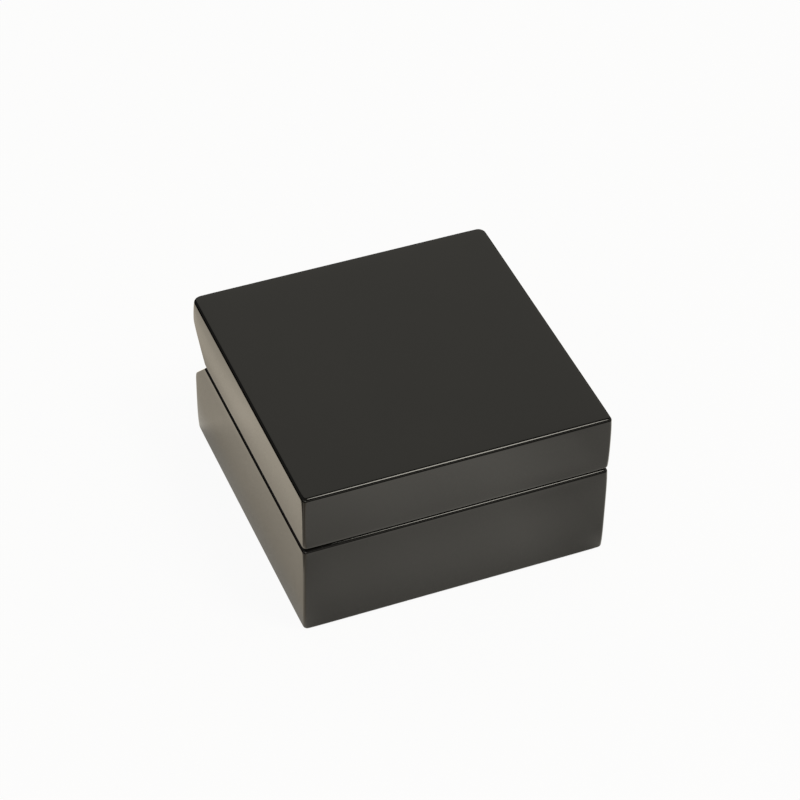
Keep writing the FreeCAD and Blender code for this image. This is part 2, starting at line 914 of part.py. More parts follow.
def side_wheels():
    """Wheels of the going train and the setting train beside the dial's axis."""
    arbor = (pivot_front, pivot_back)
    third = [
        wheel("third_wheel", third_pitch, 4, FRONT, 0, third_y),
        wheel("third_pinion", third_pinion_pitch, 3, FRONT, 0, third_y),
        rod(CLOCK, S.arbor_radius, arbor, 0, third_y),
    ]
    node("third_wheel", fuse(third))
    idler = [
        wheel("intermediate_wheel", idler_pitch, 6, FRONT, 0, idler_y),
        wheel("intermediate_pinion", idler_pinion_pitch, 5, BACK, 0, idler_y),
        rod(CLOCK, S.arbor_radius, arbor, 0, idler_y),
    ]
    node("intermediate_wheel", fuse(idler))
    magnet_middle = stator_low + S.stator_thickness / 2
    magnet = (magnet_middle - S.rotor_length / 2, magnet_middle + S.rotor_length / 2)
    rotor = [
        wheel("rotor_pinion", rotor_pitch, 6, BACK, 0, rotor_y),
        rod(CLOCK, S.rotor_radius, magnet, 0, rotor_y),
        rod(CLOCK, S.arbor_radius, arbor, 0, rotor_y),
    ]
    node("motor_rotor", fuse(rotor))
    transfer = [
        wheel("transfer_wheel", transfer_pitch, 2, RIGHT, transfer_x, 0),
        wheel("transfer_pinion", transfer_pinion_pitch, 1, RIGHT, transfer_x, 0),
    ]
    through = (level(1), level(2) + S.wheel_thickness)
    transfer.append(rod(CLOCK, S.transfer_post + S.transfer_sleeve, through, transfer_x, 0))
    post_hole = rod(CLOCK, S.transfer_post + S.running_play, through, transfer_x, 0)
    node("transfer_wheel", cut(fuse(transfer), [post_hole]))


def knob(name, pinion, pitch, order, mate, x):
    """A setting knob behind the case, with the shaft and pinion that it turns."""
    low = case_depth + S.knob_lift
    high = low + S.knob_height
    edge = S.knob_radius - S.knob_chamfer
    cap = [(0, low), (S.knob_radius, low), (S.knob_radius, high - S.knob_chamfer), (edge, high), (0, high)]
    parts = [
        turned(CLOCK, cap, x, 0, 0),
        rod(CLOCK, S.knob_shaft, (pivot_front, high), x, 0),
        wheel(pinion, pitch, order, mate, x, 0),
    ]
    node(name, fuse(parts))


# Motor, circuit and cell

stator_low = level(3)
coil_y = rotor_y - S.coil_distance
stator_high = stator_low + S.stator_thickness
core_half = S.stator_limb / 2


def motor():
    """Stator round the rotor, and the coil on its core."""
    flat = (stator_low, stator_high)
    bore = S.rotor_radius + S.rotor_air
    span = (-S.stator_half_width, S.stator_half_width)
    arms = [
        rod(CLOCK, bore + S.stator_ring, flat, 0, rotor_y),
        block(CLOCK, span, (rotor_y - core_half, rotor_y + core_half), flat),
        block(CLOCK, span, (coil_y - core_half, coil_y + core_half), flat),
    ]
    for way in (-1, 1):
        ends = (S.stator_half_width * way, (S.stator_half_width - S.stator_limb) * way)
        x = sorted(ends, key=lambda v: v.number)
        arms.append(block(CLOCK, x, (coil_y - core_half, rotor_y + core_half), flat))
    stator = cut(fuse(arms), [rod(CLOCK, bore, flat, 0, rotor_y)])
    node("motor_stator", stator)
    reach = (-S.coil_length / 2, S.coil_length / 2)
    winding = bar(CLOCK, S.coil_radius, reach, coil_y, stator_low + S.stator_thickness / 2)
    core = block(CLOCK, span, (coil_y - core_half, coil_y + core_half), flat)
    node("motor_coil", cut(winding, [core]))


def circuit():
    """Circuit board with its chip, the crystal, and the buzzer under the back."""
    top = plate_back + S.board_thickness
    board = block(
        CLOCK, (-board_left, -S.board_right), (-S.board_front, S.board_back), (plate_back, top)
    )
    chip_x = -(board_left + S.board_right) / 2 + S.crystal_radius
    chip = rod(CLOCK, S.chip_radius, (top, top + S.chip_height), chip_x, 0)
    node("circuit_board", fuse([board, chip]))
    can = doc.addObject("Part::Cylinder", "can")
    can.Placement.Rotation = FreeCAD.Rotation(FreeCAD.Vector(1, 0, 0), -90)
    bind(can, "Radius", S.crystal_radius)
    bind(can, "Height", S.crystal_length)
    put(can, CLOCK, -crystal_x, S.crystal_y, top + S.crystal_radius)
    node("quartz_crystal", can)
    disc = (back_inner - S.buzzer_thickness, back_inner)
    node("buzzer_disc", rod(CLOCK, S.buzzer_radius, disc, buzzer_x, -S.buzzer_y))


def cell_and_contacts():
    """Button cell standing on one spring contact and touched at its side by the other."""
    height = (cell_bottom, cell_bottom + S.cell_height)
    node("battery", rod(CLOCK, S.cell_radius, height, cell_x, cell_y))
    half = S.contact_width / 2
    reach = S.cell_radius - S.contact_thickness
    strip_x = (cell_x - reach, cell_x + reach)
    strip_y = (cell_y - half, cell_y + half)
    node("battery_contact_minus", block(CLOCK, strip_x, strip_y, (plate_back, cell_bottom)))
    side = cell_x - S.cell_radius
    foot = side - S.contact_width
    tall = (plate_back, back_inner - S.well_depth - S.contact_room)
    upright = block(CLOCK, (side - S.contact_thickness, side), strip_y, tall)
    sole = block(CLOCK, (foot, side), strip_y, (plate_back, cell_bottom))
    node("battery_contact_plus", fuse([upright, sole]))


# Plate and case of the movement


def case_screw_places():
    """Where the three case screws stand."""
    for angle in CASE_SCREW_ANGLES:
        turn = math.radians(angle)
        yield case_screw_circle * math.cos(turn), case_screw_circle * math.sin(turn)


def case_screw(x, y):
    """A cheese-head screw from the back of the case into the plate."""
    seat = case_depth - S.case_screw_head_height
    tip = plate_back - S.case_screw_bite
    shank = rod(CLOCK, S.case_screw_radius, (tip, seat), x, y)
    return fuse([shank, rod(CLOCK, S.case_screw_head, (seat, case_depth), x, y)])


def movement_plate(screws):
    """Plate behind the dial, with the pivots of the train and the transfer wheel's post."""
    disc = rod(CLOCK, seat_radius, (dial_back, plate_back))
    post = rod(CLOCK, S.transfer_post, (plate_back, level(3) - S.level_start), transfer_x, 0)
    pivots = [
        rod(CLOCK, S.arbor_radius + S.running_play, (pivot_front, plate_back), 0, third_y),
        rod(CLOCK, S.arbor_radius + S.running_play, (pivot_front, plate_back), 0, idler_y),
        rod(CLOCK, S.arbor_radius + S.running_play, (pivot_front, plate_back), 0, rotor_y),
        rod(CLOCK, S.knob_shaft + S.running_play, (pivot_front, plate_back), time_set_x, 0),
        rod(CLOCK, S.knob_shaft + S.running_play, (pivot_front, plate_back), alarm_set_x, 0),
        rod(CLOCK, pipe_outer(2) + S.running_play, (dial_back, plate_back)),
    ]
    node("movement_plate", cut(fuse([disc, post]), pivots + screws))


def movement_case(screws):
    """Back shell of the movement: tube, back wall, screw bosses, cell well and cover rails."""
    tube_front = -S.bezel_lift
    shoulder = case_depth - S.case_chamfer
    profile = [
        (tube_inner, tube_front),
        (case_radius, tube_front),
        (case_radius, shoulder),
        (case_radius - S.case_chamfer, case_depth),
        (0, case_depth),
        (0, back_inner),
        (tube_inner, back_inner),
    ]
    parts = [turned(CLOCK, profile)]
    for x, y in case_screw_places():
        parts.append(rod(CLOCK, S.case_boss_radius, (plate_back, back_inner), x, y))
    well = (back_inner - S.well_depth, case_depth)
    parts.append(rod(CLOCK, well_radius + S.well_wall, (well[0], back_inner), cell_x, cell_y))
    half = cover_half
    rail_y = (cell_y - half, cell_y + half)
    rail_z = (case_depth, case_depth + S.cover_thickness)
    for way in (-1, 1):
        ends = (half + S.cover_play, half + S.cover_play + S.cover_rail)
        x = sorted((cell_x + ends[0] * way, cell_x + ends[1] * way), key=lambda v: v.number)
        parts.append(block(CLOCK, x, rail_y, rail_z))
    through = (back_inner, case_depth)
    pivot = (back_inner, pivot_back)
    holes = [
        rod(CLOCK, well_radius, well, cell_x, cell_y),
        rod(CLOCK, S.second_arbor + S.running_play, pivot),
        rod(CLOCK, S.arbor_radius + S.running_play, pivot, 0, third_y),
        rod(CLOCK, S.arbor_radius + S.running_play, pivot, 0, idler_y),
        rod(CLOCK, S.arbor_radius + S.running_play, pivot, 0, rotor_y),
        rod(CLOCK, S.knob_shaft + S.running_play, through, time_set_x, 0),
        rod(CLOCK, S.knob_shaft + S.running_play, through, alarm_set_x, 0),
        block(CLOCK, *switch_slot(), through),
    ]
    for index in range(SOUND_HOLES):
        turn = 2 * math.pi * index / SOUND_HOLES
        x = buzzer_x + S.sound_circle * math.cos(turn)
        y = -S.buzzer_y + S.sound_circle * math.sin(turn)
        holes.append(rod(CLOCK, S.sound_hole, through, x, y))
    node("movement_case", cut(fuse(parts), holes + screws))


def switch_slot():
    """Plan of the slot in which the alarm switch's stem slides."""
    half = S.switch_stem / 2 + S.switch_play
    x = (-S.switch_x - half, -S.switch_x + S.switch_travel + half)
    y = (S.switch_y - half, S.switch_y + half)
    return x, y


def alarm_switch():
    """Slider on the back with a stem down to the circuit board."""
    half = S.switch_stem / 2
    low = case_depth + S.bezel_lift
    stem_low = plate_back + S.board_thickness + S.knob_lift
    stem = block(
        CLOCK,
        (-S.switch_x - half, -S.switch_x + half),
        (S.switch_y - half, S.switch_y + half),
        (stem_low, low),
    )
    cap = block(
        CLOCK,
        (-S.switch_x - S.switch_length / 2, -S.switch_x + S.switch_length / 2),
        (S.switch_y - S.switch_width / 2, S.switch_y + S.switch_width / 2),
        (low, low + S.switch_height),
    )
    node("alarm_switch", fuse([stem, cap]))


def battery_cover():
    """Sliding cover over the cell, with ribs for the thumb."""
    half = cover_half
    low = case_depth + S.bezel_lift
    high = low + S.cover_thickness
    wide = (cell_x - half, cell_x + half)
    plate = block(CLOCK, wide, (cell_y - half, cell_y + half), (low, high))
    parts = [plate]
    step = cover_half / (COVER_RIBS + 1)
    for index in range(COVER_RIBS):
        start = cell_y - half + step * (2 * index + 1)
        rib_x = (cell_x - half / 2, cell_x + half / 2)
        parts.append(block(CLOCK, rib_x, (start, start + step), (high, high + S.cover_rib)))
    node("battery_cover", fuse(parts))


def build():
    """The whole box, piece by piece."""
    base_tools, lid_tools = hinges()
    base(base_tools)
    lining()
    lid(lid_tools)
    clock_panel()
    bezel_and_lens()
    dial_and_grip()
    hands()
    centre_wheels()
    side_wheels()
    knob("time_set_knob", "time_set_pinion", time_set_pitch, 2, RIGHT, time_set_x)
    knob("alarm_set_knob", "alarm_set_pinion", alarm_set_pitch, 0, LEFT, alarm_set_x)
    motor()
    circuit()
    cell_and_contacts()
    screws = [case_screw(x, y) for x, y in case_screw_places()]
    node("case_screws", group(screws))
    movement_plate(screws)
    movement_case(screws)
    alarm_switch()
    battery_cover()


def check_document():
    """Stop if any object failed or any finished piece is empty or broken."""
    for thing in doc.Objects:
        if "Invalid" in thing.State or "Error" in thing.State:
            raise RuntimeError(f"{thing.Name} ({thing.Label}) is {thing.State}")
    for thing in nodes:
        if thing.Shape.isNull() or not thing.Shape.isValid() or not thing.Shape.Solids:
            raise RuntimeError(f"{thing.Label} has no valid solid")


def write_parts():
    """Each finished piece as one STEP file under its own name."""
    os.makedirs("parts", exist_ok=True)
    for thing in nodes:
        thing.Shape.exportStep(f"parts/{thing.Label}.step")


build()
doc.recompute()
check_document()
write_parts()
print(len(nodes), "pieces")
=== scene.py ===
"""Looks of a square lacquered box whose hinged lid carries a quartz alarm clock.

Every shape is worked out in millimetres and becomes metres when it is put into a
mesh. The box has X to the right, Y to the back and Z up, with the lid closed. The
clock is measured from the middle of its dial, and twelve o'clock lies towards -Y.
"""

import json
import math

import bpy
import numpy as np
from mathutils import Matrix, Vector


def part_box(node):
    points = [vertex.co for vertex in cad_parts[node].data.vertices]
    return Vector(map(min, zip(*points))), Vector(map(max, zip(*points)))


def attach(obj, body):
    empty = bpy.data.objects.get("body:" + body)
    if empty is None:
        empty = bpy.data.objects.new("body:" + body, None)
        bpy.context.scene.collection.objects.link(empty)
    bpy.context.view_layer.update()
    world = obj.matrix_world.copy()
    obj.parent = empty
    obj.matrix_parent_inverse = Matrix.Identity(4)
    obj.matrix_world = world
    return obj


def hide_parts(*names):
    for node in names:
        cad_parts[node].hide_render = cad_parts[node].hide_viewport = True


bl_info = {
    "name": "Clock Box",
    "version": (1, 0, 0),
    "blender": (4, 5, 0),
    "location": "View3D > Sidebar > Clock Box",
    "description": "Lacquer, suede, brass and dial work for a wooden box with a clock",
    "category": "Object",
}

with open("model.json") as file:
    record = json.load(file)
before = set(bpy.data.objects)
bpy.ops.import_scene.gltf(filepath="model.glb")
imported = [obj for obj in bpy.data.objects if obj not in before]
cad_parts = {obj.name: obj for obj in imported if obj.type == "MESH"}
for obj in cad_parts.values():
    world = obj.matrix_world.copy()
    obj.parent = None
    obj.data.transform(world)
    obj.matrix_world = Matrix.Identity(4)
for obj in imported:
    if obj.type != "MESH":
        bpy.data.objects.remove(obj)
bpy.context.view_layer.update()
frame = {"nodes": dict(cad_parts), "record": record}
NODES = frame["nodes"]
FINISHES = {}
MM = 0.001
# Depth of the notch at the back, and where the bezel and the dial's ring meet the glass
GROOVE = 10.8
GLASS_EDGE = 24.4
# Finish of each slot of the record whose solids are shown as they are
SLOT_FINISHES = {
    "black_lacquer": "piano_lacquer",
    "brass": "hinge_brass",
    "copper": "copper_wire",
    "steel": "bright_steel",
    "white_plastic": "white_moulding",
    "black_plastic": "black_moulding",
    "rubber": "grip_rubber",
    "board": "bare_board",
    "circuit_green": "solder_mask",
    "buzzer_brass": "sounder_brass",
    "hand_paint": "hand_black",
}


def extent(node):
    """Lowest and highest corner of a solid of the frame, in millimetres."""
    low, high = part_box(node)
    return np.array(low) / MM, np.array(high) / MM


def dial_centre():
    low, high = extent("dial")
    return (low + high) / 2


# Shader maths


class Wire:
    """A node's output, with Python's arithmetic on its values."""

    def __init__(self, finish, socket):
        self.finish = finish
        self.socket = socket

    def math(self, operation, *values):
        return self.finish.node("ShaderNodeMath", {"operation": operation}, dict(enumerate(values)))

    def step(self, low, high):
        """0 below low, 1 above high and smooth in between."""
        settings = {"interpolation_type": "SMOOTHSTEP"}
        return self.finish.node("ShaderNodeMapRange", settings, {0: self, 1: low, 2: high})

    def beside(self, name):
        """Another output of the same node."""
        return Wire(self.finish, self.socket.node.outputs[name])


def arithmetic(operation):
    """Methods for an operator with the wire on its left, and on its right."""
    return (
        lambda wire, other: wire.math(operation, wire, other),
        lambda wire, other: wire.math(operation, other, wire),
    )


for sign, operation in (("add", "ADD"), ("sub", "SUBTRACT"), ("mul", "MULTIPLY")):
    for prefix, method in zip(("", "r"), arithmetic(operation)):
        setattr(Wire, f"__{prefix}{sign}__", method)


class Finish:
    """The nodes of a material or of the world, built up from none."""

    def __init__(self, owner):
        owner.use_nodes = True
        self.tree = owner.node_tree
        self.tree.nodes.clear()

    def node(self, kind, settings=None, inputs=None, out=0):
        """Add a node, set it up, feed its sockets and give one of its outputs."""
        made = self.tree.nodes.new(kind)
        for key, value in (settings or {}).items():
            setattr(made, key, value)
        for key, value in (inputs or {}).items():
            socket = made.inputs[key]
            if isinstance(value, Wire):
                self.tree.links.new(value.socket, socket)
            else:
                socket.default_value = (*value, 1) if socket.type == "RGBA" else value
        return Wire(self, made.outputs[out]) if made.outputs else None

    def place(self):
        """Object coordinates, which are metres from the box's origin."""
        return self.node("ShaderNodeTexCoord", out=3)

    def stretched(self, scale, shift=(0.0, 0.0, 0.0)):
        """Object coordinates moved and scaled apart along each axis."""
        moved = self.node("ShaderNodeVectorMath", {"operation": "ADD"}, {0: self.place(), 1: shift})
        return self.node("ShaderNodeVectorMath", {"operation": "MULTIPLY"}, {0: moved, 1: scale})

    def noise(self, scale, detail=2.0, rough=0.5, vector=None):
        """Fractal noise from 0 to 1. Its scale is one number or one for each axis."""
        if isinstance(scale, tuple):
            vector, scale = self.stretched(scale), 1.0
        values = {"Vector": vector or self.place(), "Scale": scale}
        values.update({"Detail": detail, "Roughness": rough})
        return self.node("ShaderNodeTexNoise", None, values)

    def stripes(self, value, detail=2.0):
        """Noise along one number."""
        settings = {"noise_dimensions": "1D"}
        return self.node("ShaderNodeTexNoise", settings, {"W": value, "Detail": detail})

    def blend(self, share, first, second):
        """A colour between two by share."""
        settings = {"data_type": "RGBA"}
        return self.node("ShaderNodeMix", settings, {0: share, 6: first, 7: second}, out=2)

    def bump(self, height, depth, strength=1.0, normal=None):
        """A normal from a height of 0 to 1 that stands for depth in metres."""
        values = {"Height": height, "Distance": depth, "Strength": strength}
        if normal:
            values["Normal"] = normal
        return self.node("ShaderNodeBump", None, values)

    def rays(self):
        """1 for rays from the camera or through glass, and the node that tells them."""
        camera = self.node("ShaderNodeLightPath")
        return camera.math("MAXIMUM", camera, camera.beside("Is Transmission Ray")), camera

    def principled(self, tone, rough, normal=None, **values):
        """The principled shader. An underscore in a name stands for a space."""
        inputs = {key.replace("_", " "): value for key, value in values.items()}
        inputs.update({"Base Color": tone, "Roughness": rough})
        if normal:
            inputs["Normal"] = normal
        return self.node("ShaderNodeBsdfPrincipled", None, inputs)

    def out(self, shader):
        self.node("ShaderNodeOutputMaterial", None, {"Surface": shader})

    def surface(self, *inputs, **values):
        self.out(self.principled(*inputs, **values))


def shade(colour, factor, lift=0.0):
    """A colour made lighter or darker, up to white."""
    return tuple(min(1.0, c * factor + lift) for c in colour)


def from_dial(centre):
    """The shift that moves the dial's middle to the origin, in metres."""
    return tuple(-c * MM for c in centre)


def lacquer(f, colour, orange_peel):
    """Polished black piano lacquer: faint orange peel, a slow swell and thin haze."""
    haze = f.noise(900.0, 4.0, 0.6, f.stretched((1.0, 1.0, 1.0), (0.3, 0.1, 0.2)))
    cloud = f.noise(30.0).step(0.35, 0.7)
    swell = f.bump(f.noise(70.0, 1.0), 0.00002)
    normal = f.bump(f.noise(420.0), orange_peel, 1.0, swell)
    rough = haze.step(0.3, 0.8) * 0.02 + 0.035
    f.surface(f.blend(cloud, colour, shade(colour, 1.35)), rough, normal, IOR=1.5)


def suede(f, colour):
    """Short-napped suede: brushed light and dark patches over a fine fibre."""
    fibre = f.noise(5200.0, 3.0, 0.65)
    nap = f.noise(950.0, 3.0, 0.6)
    brushed = f.noise((330.0, 190.0, 250.0), 4.0, 0.65).step(0.25, 0.75)
    tone = f.blend(brushed * 0.5 + nap * 0.5, shade(colour, 0.80), shade(colour, 1.16))
    speckled = f.blend(fibre.step(0.35, 0.75) * 0.35, tone, shade(colour, 0.5))
    normal = f.bump(nap, 0.00018, 0.5, f.bump(fibre, 0.0001, 0.7))
    f.surface(speckled, 0.93, normal, Sheen_Weight=0.35, Sheen_Roughness=0.45)


def felt(f, colour):
    """Pressed felt: matted fibres with a little fluff."""
    strands = f.noise((700.0, 2600.0, 1500.0), 4.0, 0.7)
    cross = f.noise((2400.0, 800.0, 1500.0), 4.0, 0.7)
    mat = strands * 0.5 + cross * 0.5
    tone = f.blend(mat.step(0.35, 0.7), colour, shade(colour, 2.4, 0.01))
    normal = f.bump(mat, 0.0003, 0.8, f.bump(f.noise(260.0), 0.0003, 0.5))
    f.surface(tone, 0.97, normal, Sheen_Weight=0.3)


def metal(f, colour, roughness, brush=(1.0, 1.0, 1.0), depth=0.000004, tarnish=0.0):
    """Bright metal with drawn or brushed lines and, on brass, a trace of tarnish."""
    lines = f.noise(tuple(900.0 * b for b in brush), 4.0, 0.6)
    patch = f.noise(140.0, 4.0, 0.6).step(0.45, 0.8)
    tone = f.blend(patch * (0.25 + tarnish), colour, shade(colour, 0.82 - 0.3 * tarnish))
    rough = lines * 0.1 + patch * (0.06 + 0.2 * tarnish) + (roughness - 0.05)
    f.surface(tone, rough, f.bump(lines, depth, 0.6), Metallic=1.0)


def spun_metal(f, colour, roughness, centre):
    """Metal turned on a lathe: fine rings round the clock's axis."""
    moved = f.stretched((1.0, 1.0, 0.0), from_dial(centre))
    radius = f.node("ShaderNodeVectorMath", {"operation": "LENGTH"}, {0: moved}, out=1)
    height = f.node("ShaderNodeSeparateXYZ", None, {0: f.place()}, out=2)
    rings = f.stripes((radius + height) * 9000.0)
    patch = f.noise(120.0, 3.0).step(0.5, 0.85)
    rough = rings * 0.06 + patch * 0.05 + (roughness - 0.03)
    tone = f.blend(patch * 0.3, colour, shade(colour, 0.86))
    f.surface(tone, rough, f.bump(rings, 0.0000015, 0.5), Metallic=1.0)


def dial_face(f, colour, centre):
    """Satin dial: a sunray brushed from the middle, with a faint grain."""
    moved = f.stretched((1.0, 1.0, 1.0), from_dial(centre))
    x = f.node("ShaderNodeSeparateXYZ", None, {0: moved})
    rays = f.stripes(x.math("ARCTAN2", x.beside("Y"), x) * 70.0, 3.0)
    grain = f.noise(3000.0)
    tone = f.blend(rays.step(0.3, 0.7) * 0.5 + grain * 0.2, colour, shade(colour, 0.93))
    normal = f.bump(rays, 0.00001, 0.5, f.bump(grain, 0.000006, 0.5))
    f.surface(tone, rays * 0.15 + 0.38, normal)


def paint(f, colour, roughness):
    """Printed or sprayed paint: slightly uneven gloss and a thin edge of orange peel."""
    grain = f.noise(2500.0, 3.0)
    tone = f.blend(f.noise(500.0), colour, shade(colour, 1.15, 0.004))
    f.surface(tone, grain * 0.12 + roughness, f.bump(grain, 0.000012, 0.5))


def plastic(f, colour, roughness, spark=2600.0):
    """Moulded plastic with a spark-eroded grain and slight flow marks."""
    grain = f.noise(spark, 3.0, 0.6)
    flow = f.noise((60.0, 60.0, 260.0))
    tone = f.blend(flow.step(0.3, 0.75), colour, shade(colour, 1.18, 0.003))
    rough = grain * 0.14 + flow * 0.06 + (roughness - 0.08)
    f.surface(tone, rough, f.bump(grain, 0.00003, 0.5))


def raw_board(f, light, dark):
    """Bare board: long grain lines, pores and a slow change of tone."""
    figure = f.noise((45.0, 900.0, 900.0), 6.0, 0.62)
    rings = f.noise((6.0, 130.0, 130.0), 3.0)
    pores = f.noise((300.0, 5200.0, 5200.0)).step(0.62, 0.72)
    tone = f.blend(figure * 0.6 + rings * 0.4, dark, light)
    pitted = f.blend(pores * 0.6, tone, shade(dark, 0.6))
    f.surface(pitted, 0.72, f.bump(figure - pores, 0.00008, 0.6))


def solder_mask(f, colour):
    """Solder-masked board with copper tracks showing through as a lighter weave."""
    tracks = f.node("ShaderNodeTexWave", {"bands_direction": "X"}, {0: f.place(), 1: 160.0, 2: 3.0})
    mask = tracks.step(0.55, 0.7)
    f.surface(f.blend(mask, colour, shade(colour, 1.8, 0.01)), 0.35, f.bump(mask, 0.00003, 0.6))


def lens_glass(f):
    """Clear mineral glass that lets lamps and shadows through to the dial."""
    rough = f.noise(160.0, 3.0).step(0.4, 0.8) * 0.012 + 0.004
    gloss = f.principled((1.0, 1.0, 1.0), rough, IOR=1.5, Transmission_Weight=1.0)
    clear = f.node("ShaderNodeBsdfTransparent", None, {0: (0.97, 0.985, 0.98)})
    share = 1.0 - f.rays()[0]
    f.out(f.node("ShaderNodeMixShader", None, {0: share, 1: gloss, 2: clear}))


def recipe(name):
    """What makes a finish, and its values."""
    scene = bpy.context.scene
    box, clock, stage = scene.clock_box, scene.clock_box_clock, scene.clock_box_stage
    centre = dial_centre()
    return {
        "piano_lacquer": (lacquer, box.lacquer, box.orange_peel),
        "brushed_suede": (suede, box.suede),
        "pressed_felt": (felt, box.felt),
        "hinge_brass": (metal, box.brass, 0.30, (0.25, 3.0, 3.0), 0.000003, 0.06),
        "hand_brass": (metal, box.brass, 0.24),
        "sounder_brass": (metal, (0.75, 0.58, 0.30), 0.3),
        "copper_wire": (metal, (0.60, 0.25, 0.10), 0.35, (0.1, 6.0, 6.0), 0.00004),
        "bright_steel": (metal, (0.58, 0.58, 0.58), 0.3),
        "cell_steel": (spun_metal, (0.66, 0.66, 0.66), 0.22, centre),
        "turned_chrome": (spun_metal, clock.chrome, 0.09, centre),
        "satin_ring": (spun_metal, clock.ring, 0.3, centre),
        "lens_clear": (lens_glass,),
        "sunray_dial": (dial_face, clock.dial, centre),
        "dial_ink": (paint, clock.ink, 0.4),
        "hand_black": (paint, clock.ink, 0.22),
        "hand_inlay": (paint, clock.lume, 0.6),
        "sweep_red": (paint, clock.sweep, 0.28),
        "white_moulding": (plastic, (0.74, 0.74, 0.71), 0.4),
        "black_moulding": (plastic, (0.018, 0.018, 0.019), 0.42),
        "grip_rubber": (plastic, (0.014, 0.014, 0.014), 0.75, 1400.0),
        "bare_board": (raw_board, (0.56, 0.42, 0.27), (0.36, 0.24, 0.14)),
        "solder_mask": (solder_mask, (0.03, 0.13, 0.05)),
        "floor": (floor_paper, stage.floor, stage.floor_gloss, stage.floor_gloss_left),
    }[name]


def shared(name):
    """A finish by name, made the first time it is asked for."""
    if name not in FINISHES:
        make, *values = recipe(name)
        values = [value if isinstance(value, float) else tuple(value) for value in values]
        FINISHES[name] = bpy.data.materials.new(name)
        make(Finish(FINISHES[name]), *values)
    return FINISHES[name]


# Meshes


def add_object(name, data):
    """A new object, linked into the scene."""
    made = bpy.data.objects.new(name, data)
    bpy.context.scene.collection.objects.link(made)
    return made


def evaluated_mesh(thing):
    """An object's mesh with its modifiers or its text worked out."""
    graph = bpy.context.evaluated_depsgraph_get()
    return bpy.data.meshes.new_from_object(thing.evaluated_get(graph))


def column(value):
    return np.atleast_1d(np.asarray(value, float))[:, None]


class Skin:
    """Closed surfaces on grids of points, gathered into one mesh."""

    def __init__(self):
        self.points = []
        self.faces = []
        self.tints = []
        self.total = 0

    def add(self, points, faces, tint):
        """Take in a closed surface, and turn it inside out if its volume is negative.

        The volume is a sixth of the sum over its triangles of a . (b x c). A face
        that has a corner twice is a triangle.
        """
        fan = np.concatenate([faces[:, [0, 1, 2]], faces[:, [0, 2, 3]]])
        a, b, c = (points[fan[:, k]] - points.mean(0) for k in range(3))
        if np.einsum("ij,ij->i", a, np.cross(b, c)).sum() < 0:
            faces = faces[:, ::-1]
        self.faces += [list(dict.fromkeys(face)) for face in (faces + self.total).tolist()]
        self.tints += [tint] * len(faces)
        self.points.append(points)
        self.total += len(points)

    def grid(self, p, tube=False, tint=0):
        """Quads over p, whose second parameter goes all the way round.

        The first one closes on itself as well in a tube. Otherwise each end ring is
        joined to the point in its middle.
        """
        rows, columns = p.shape[:2]
        index = np.arange(rows * columns).reshape(rows, columns)
        if tube:
            index = np.concatenate([index, index[:1]])
        nxt = np.roll(index, -1, axis=1)
        quads = [np.stack([index[:-1], nxt[:-1], nxt[1:], index[1:]], -1).reshape(-1, 4)]
        points = p.reshape(-1, 3)
        if not tube:
            for number, pair in enumerate(((nxt[0], index[0]), (index[-1], nxt[-1]))):
                middle = np.full(columns, rows * columns + number)
                quads.append(np.stack([*pair, middle, middle], -1))
            points = np.concatenate([points, p[0].mean(0)[None], p[-1].mean(0)[None]])
        self.add(points, np.concatenate(quads), tint)
        return self

    def mesh(self, name, finishes=(), crease=32.0):
        """The mesh in metres, smooth except where faces meet at more than the crease."""
        mesh = bpy.data.meshes.new(name)
        mesh.from_pydata((np.concatenate(self.points) * MM).tolist(), [], self.faces)
        for finish in finishes:
            mesh.materials.append(shared(finish))
        mesh.polygons.foreach_set("material_index", np.array(self.tints, np.int32))
        mesh.shade_smooth()
        mesh.set_sharp_from_angle(angle=math.radians(crease))
        mesh.update()
        return mesh

    def piece(self, name, body, slot, finishes, replaces=(), crease=32.0):
        """The finished piece: its mesh, riding on a body and standing for its nodes."""
        settle(name, self.mesh(name, finishes, crease), body, replaces)


def settle(name, mesh, body, replaces=()):
    """Put a mesh into the scene as a piece that rides on a body."""
    piece = add_object(name, mesh)
    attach(piece, body)
    if replaces:
        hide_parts(*replaces)


def rounded_plan(half_x, front, back, front_round, back_round, side=22, corner=10):
    """Plan outlines, one row per level, anticlockwise from the front left corner.

    Each corner is a quarter circle about a centre set in by its radius, and each
    side runs straight between two of them with its points crowded to its ends.
    """
    half_x, front, back, front_round, back_round = np.broadcast_arrays(
        *(column(v) for v in (half_x, front, back, front_round, back_round))
    )
    quarter = np.linspace(0, np.pi / 2, corner)
    corners = []
    for sign_x, edge, radius, start in (
        (-1, front, front_round, np.pi),
        (1, front, front_round, 1.5 * np.pi),
        (1, back, back_round, 0),
        (-1, back, back_round, 0.5 * np.pi),
    ):
        inward = 1 if start >= np.pi else -1
        x = sign_x * (half_x - radius) + radius * np.cos(start + quarter)
        y = edge + inward * radius + radius * np.sin(start + quarter)
        corners.append(np.stack([x, y], -1))
    share = ((1 - np.cos(np.pi * np.arange(1, side) / side)) / 2)[None, :, None]
    rings = []
    for here, there in zip(corners, corners[1:] + corners[:1]):
        rings += [here, here[:, -1:] * (1 - share) + there[:, :1] * share]
    return np.concatenate(rings, 1)


def raised(plan, z):
    """Plan outlines lifted to heights, as points."""
    z = np.broadcast_to(column(z), plan.shape[:2])
    return np.concatenate([plan, z[..., None]], -1)


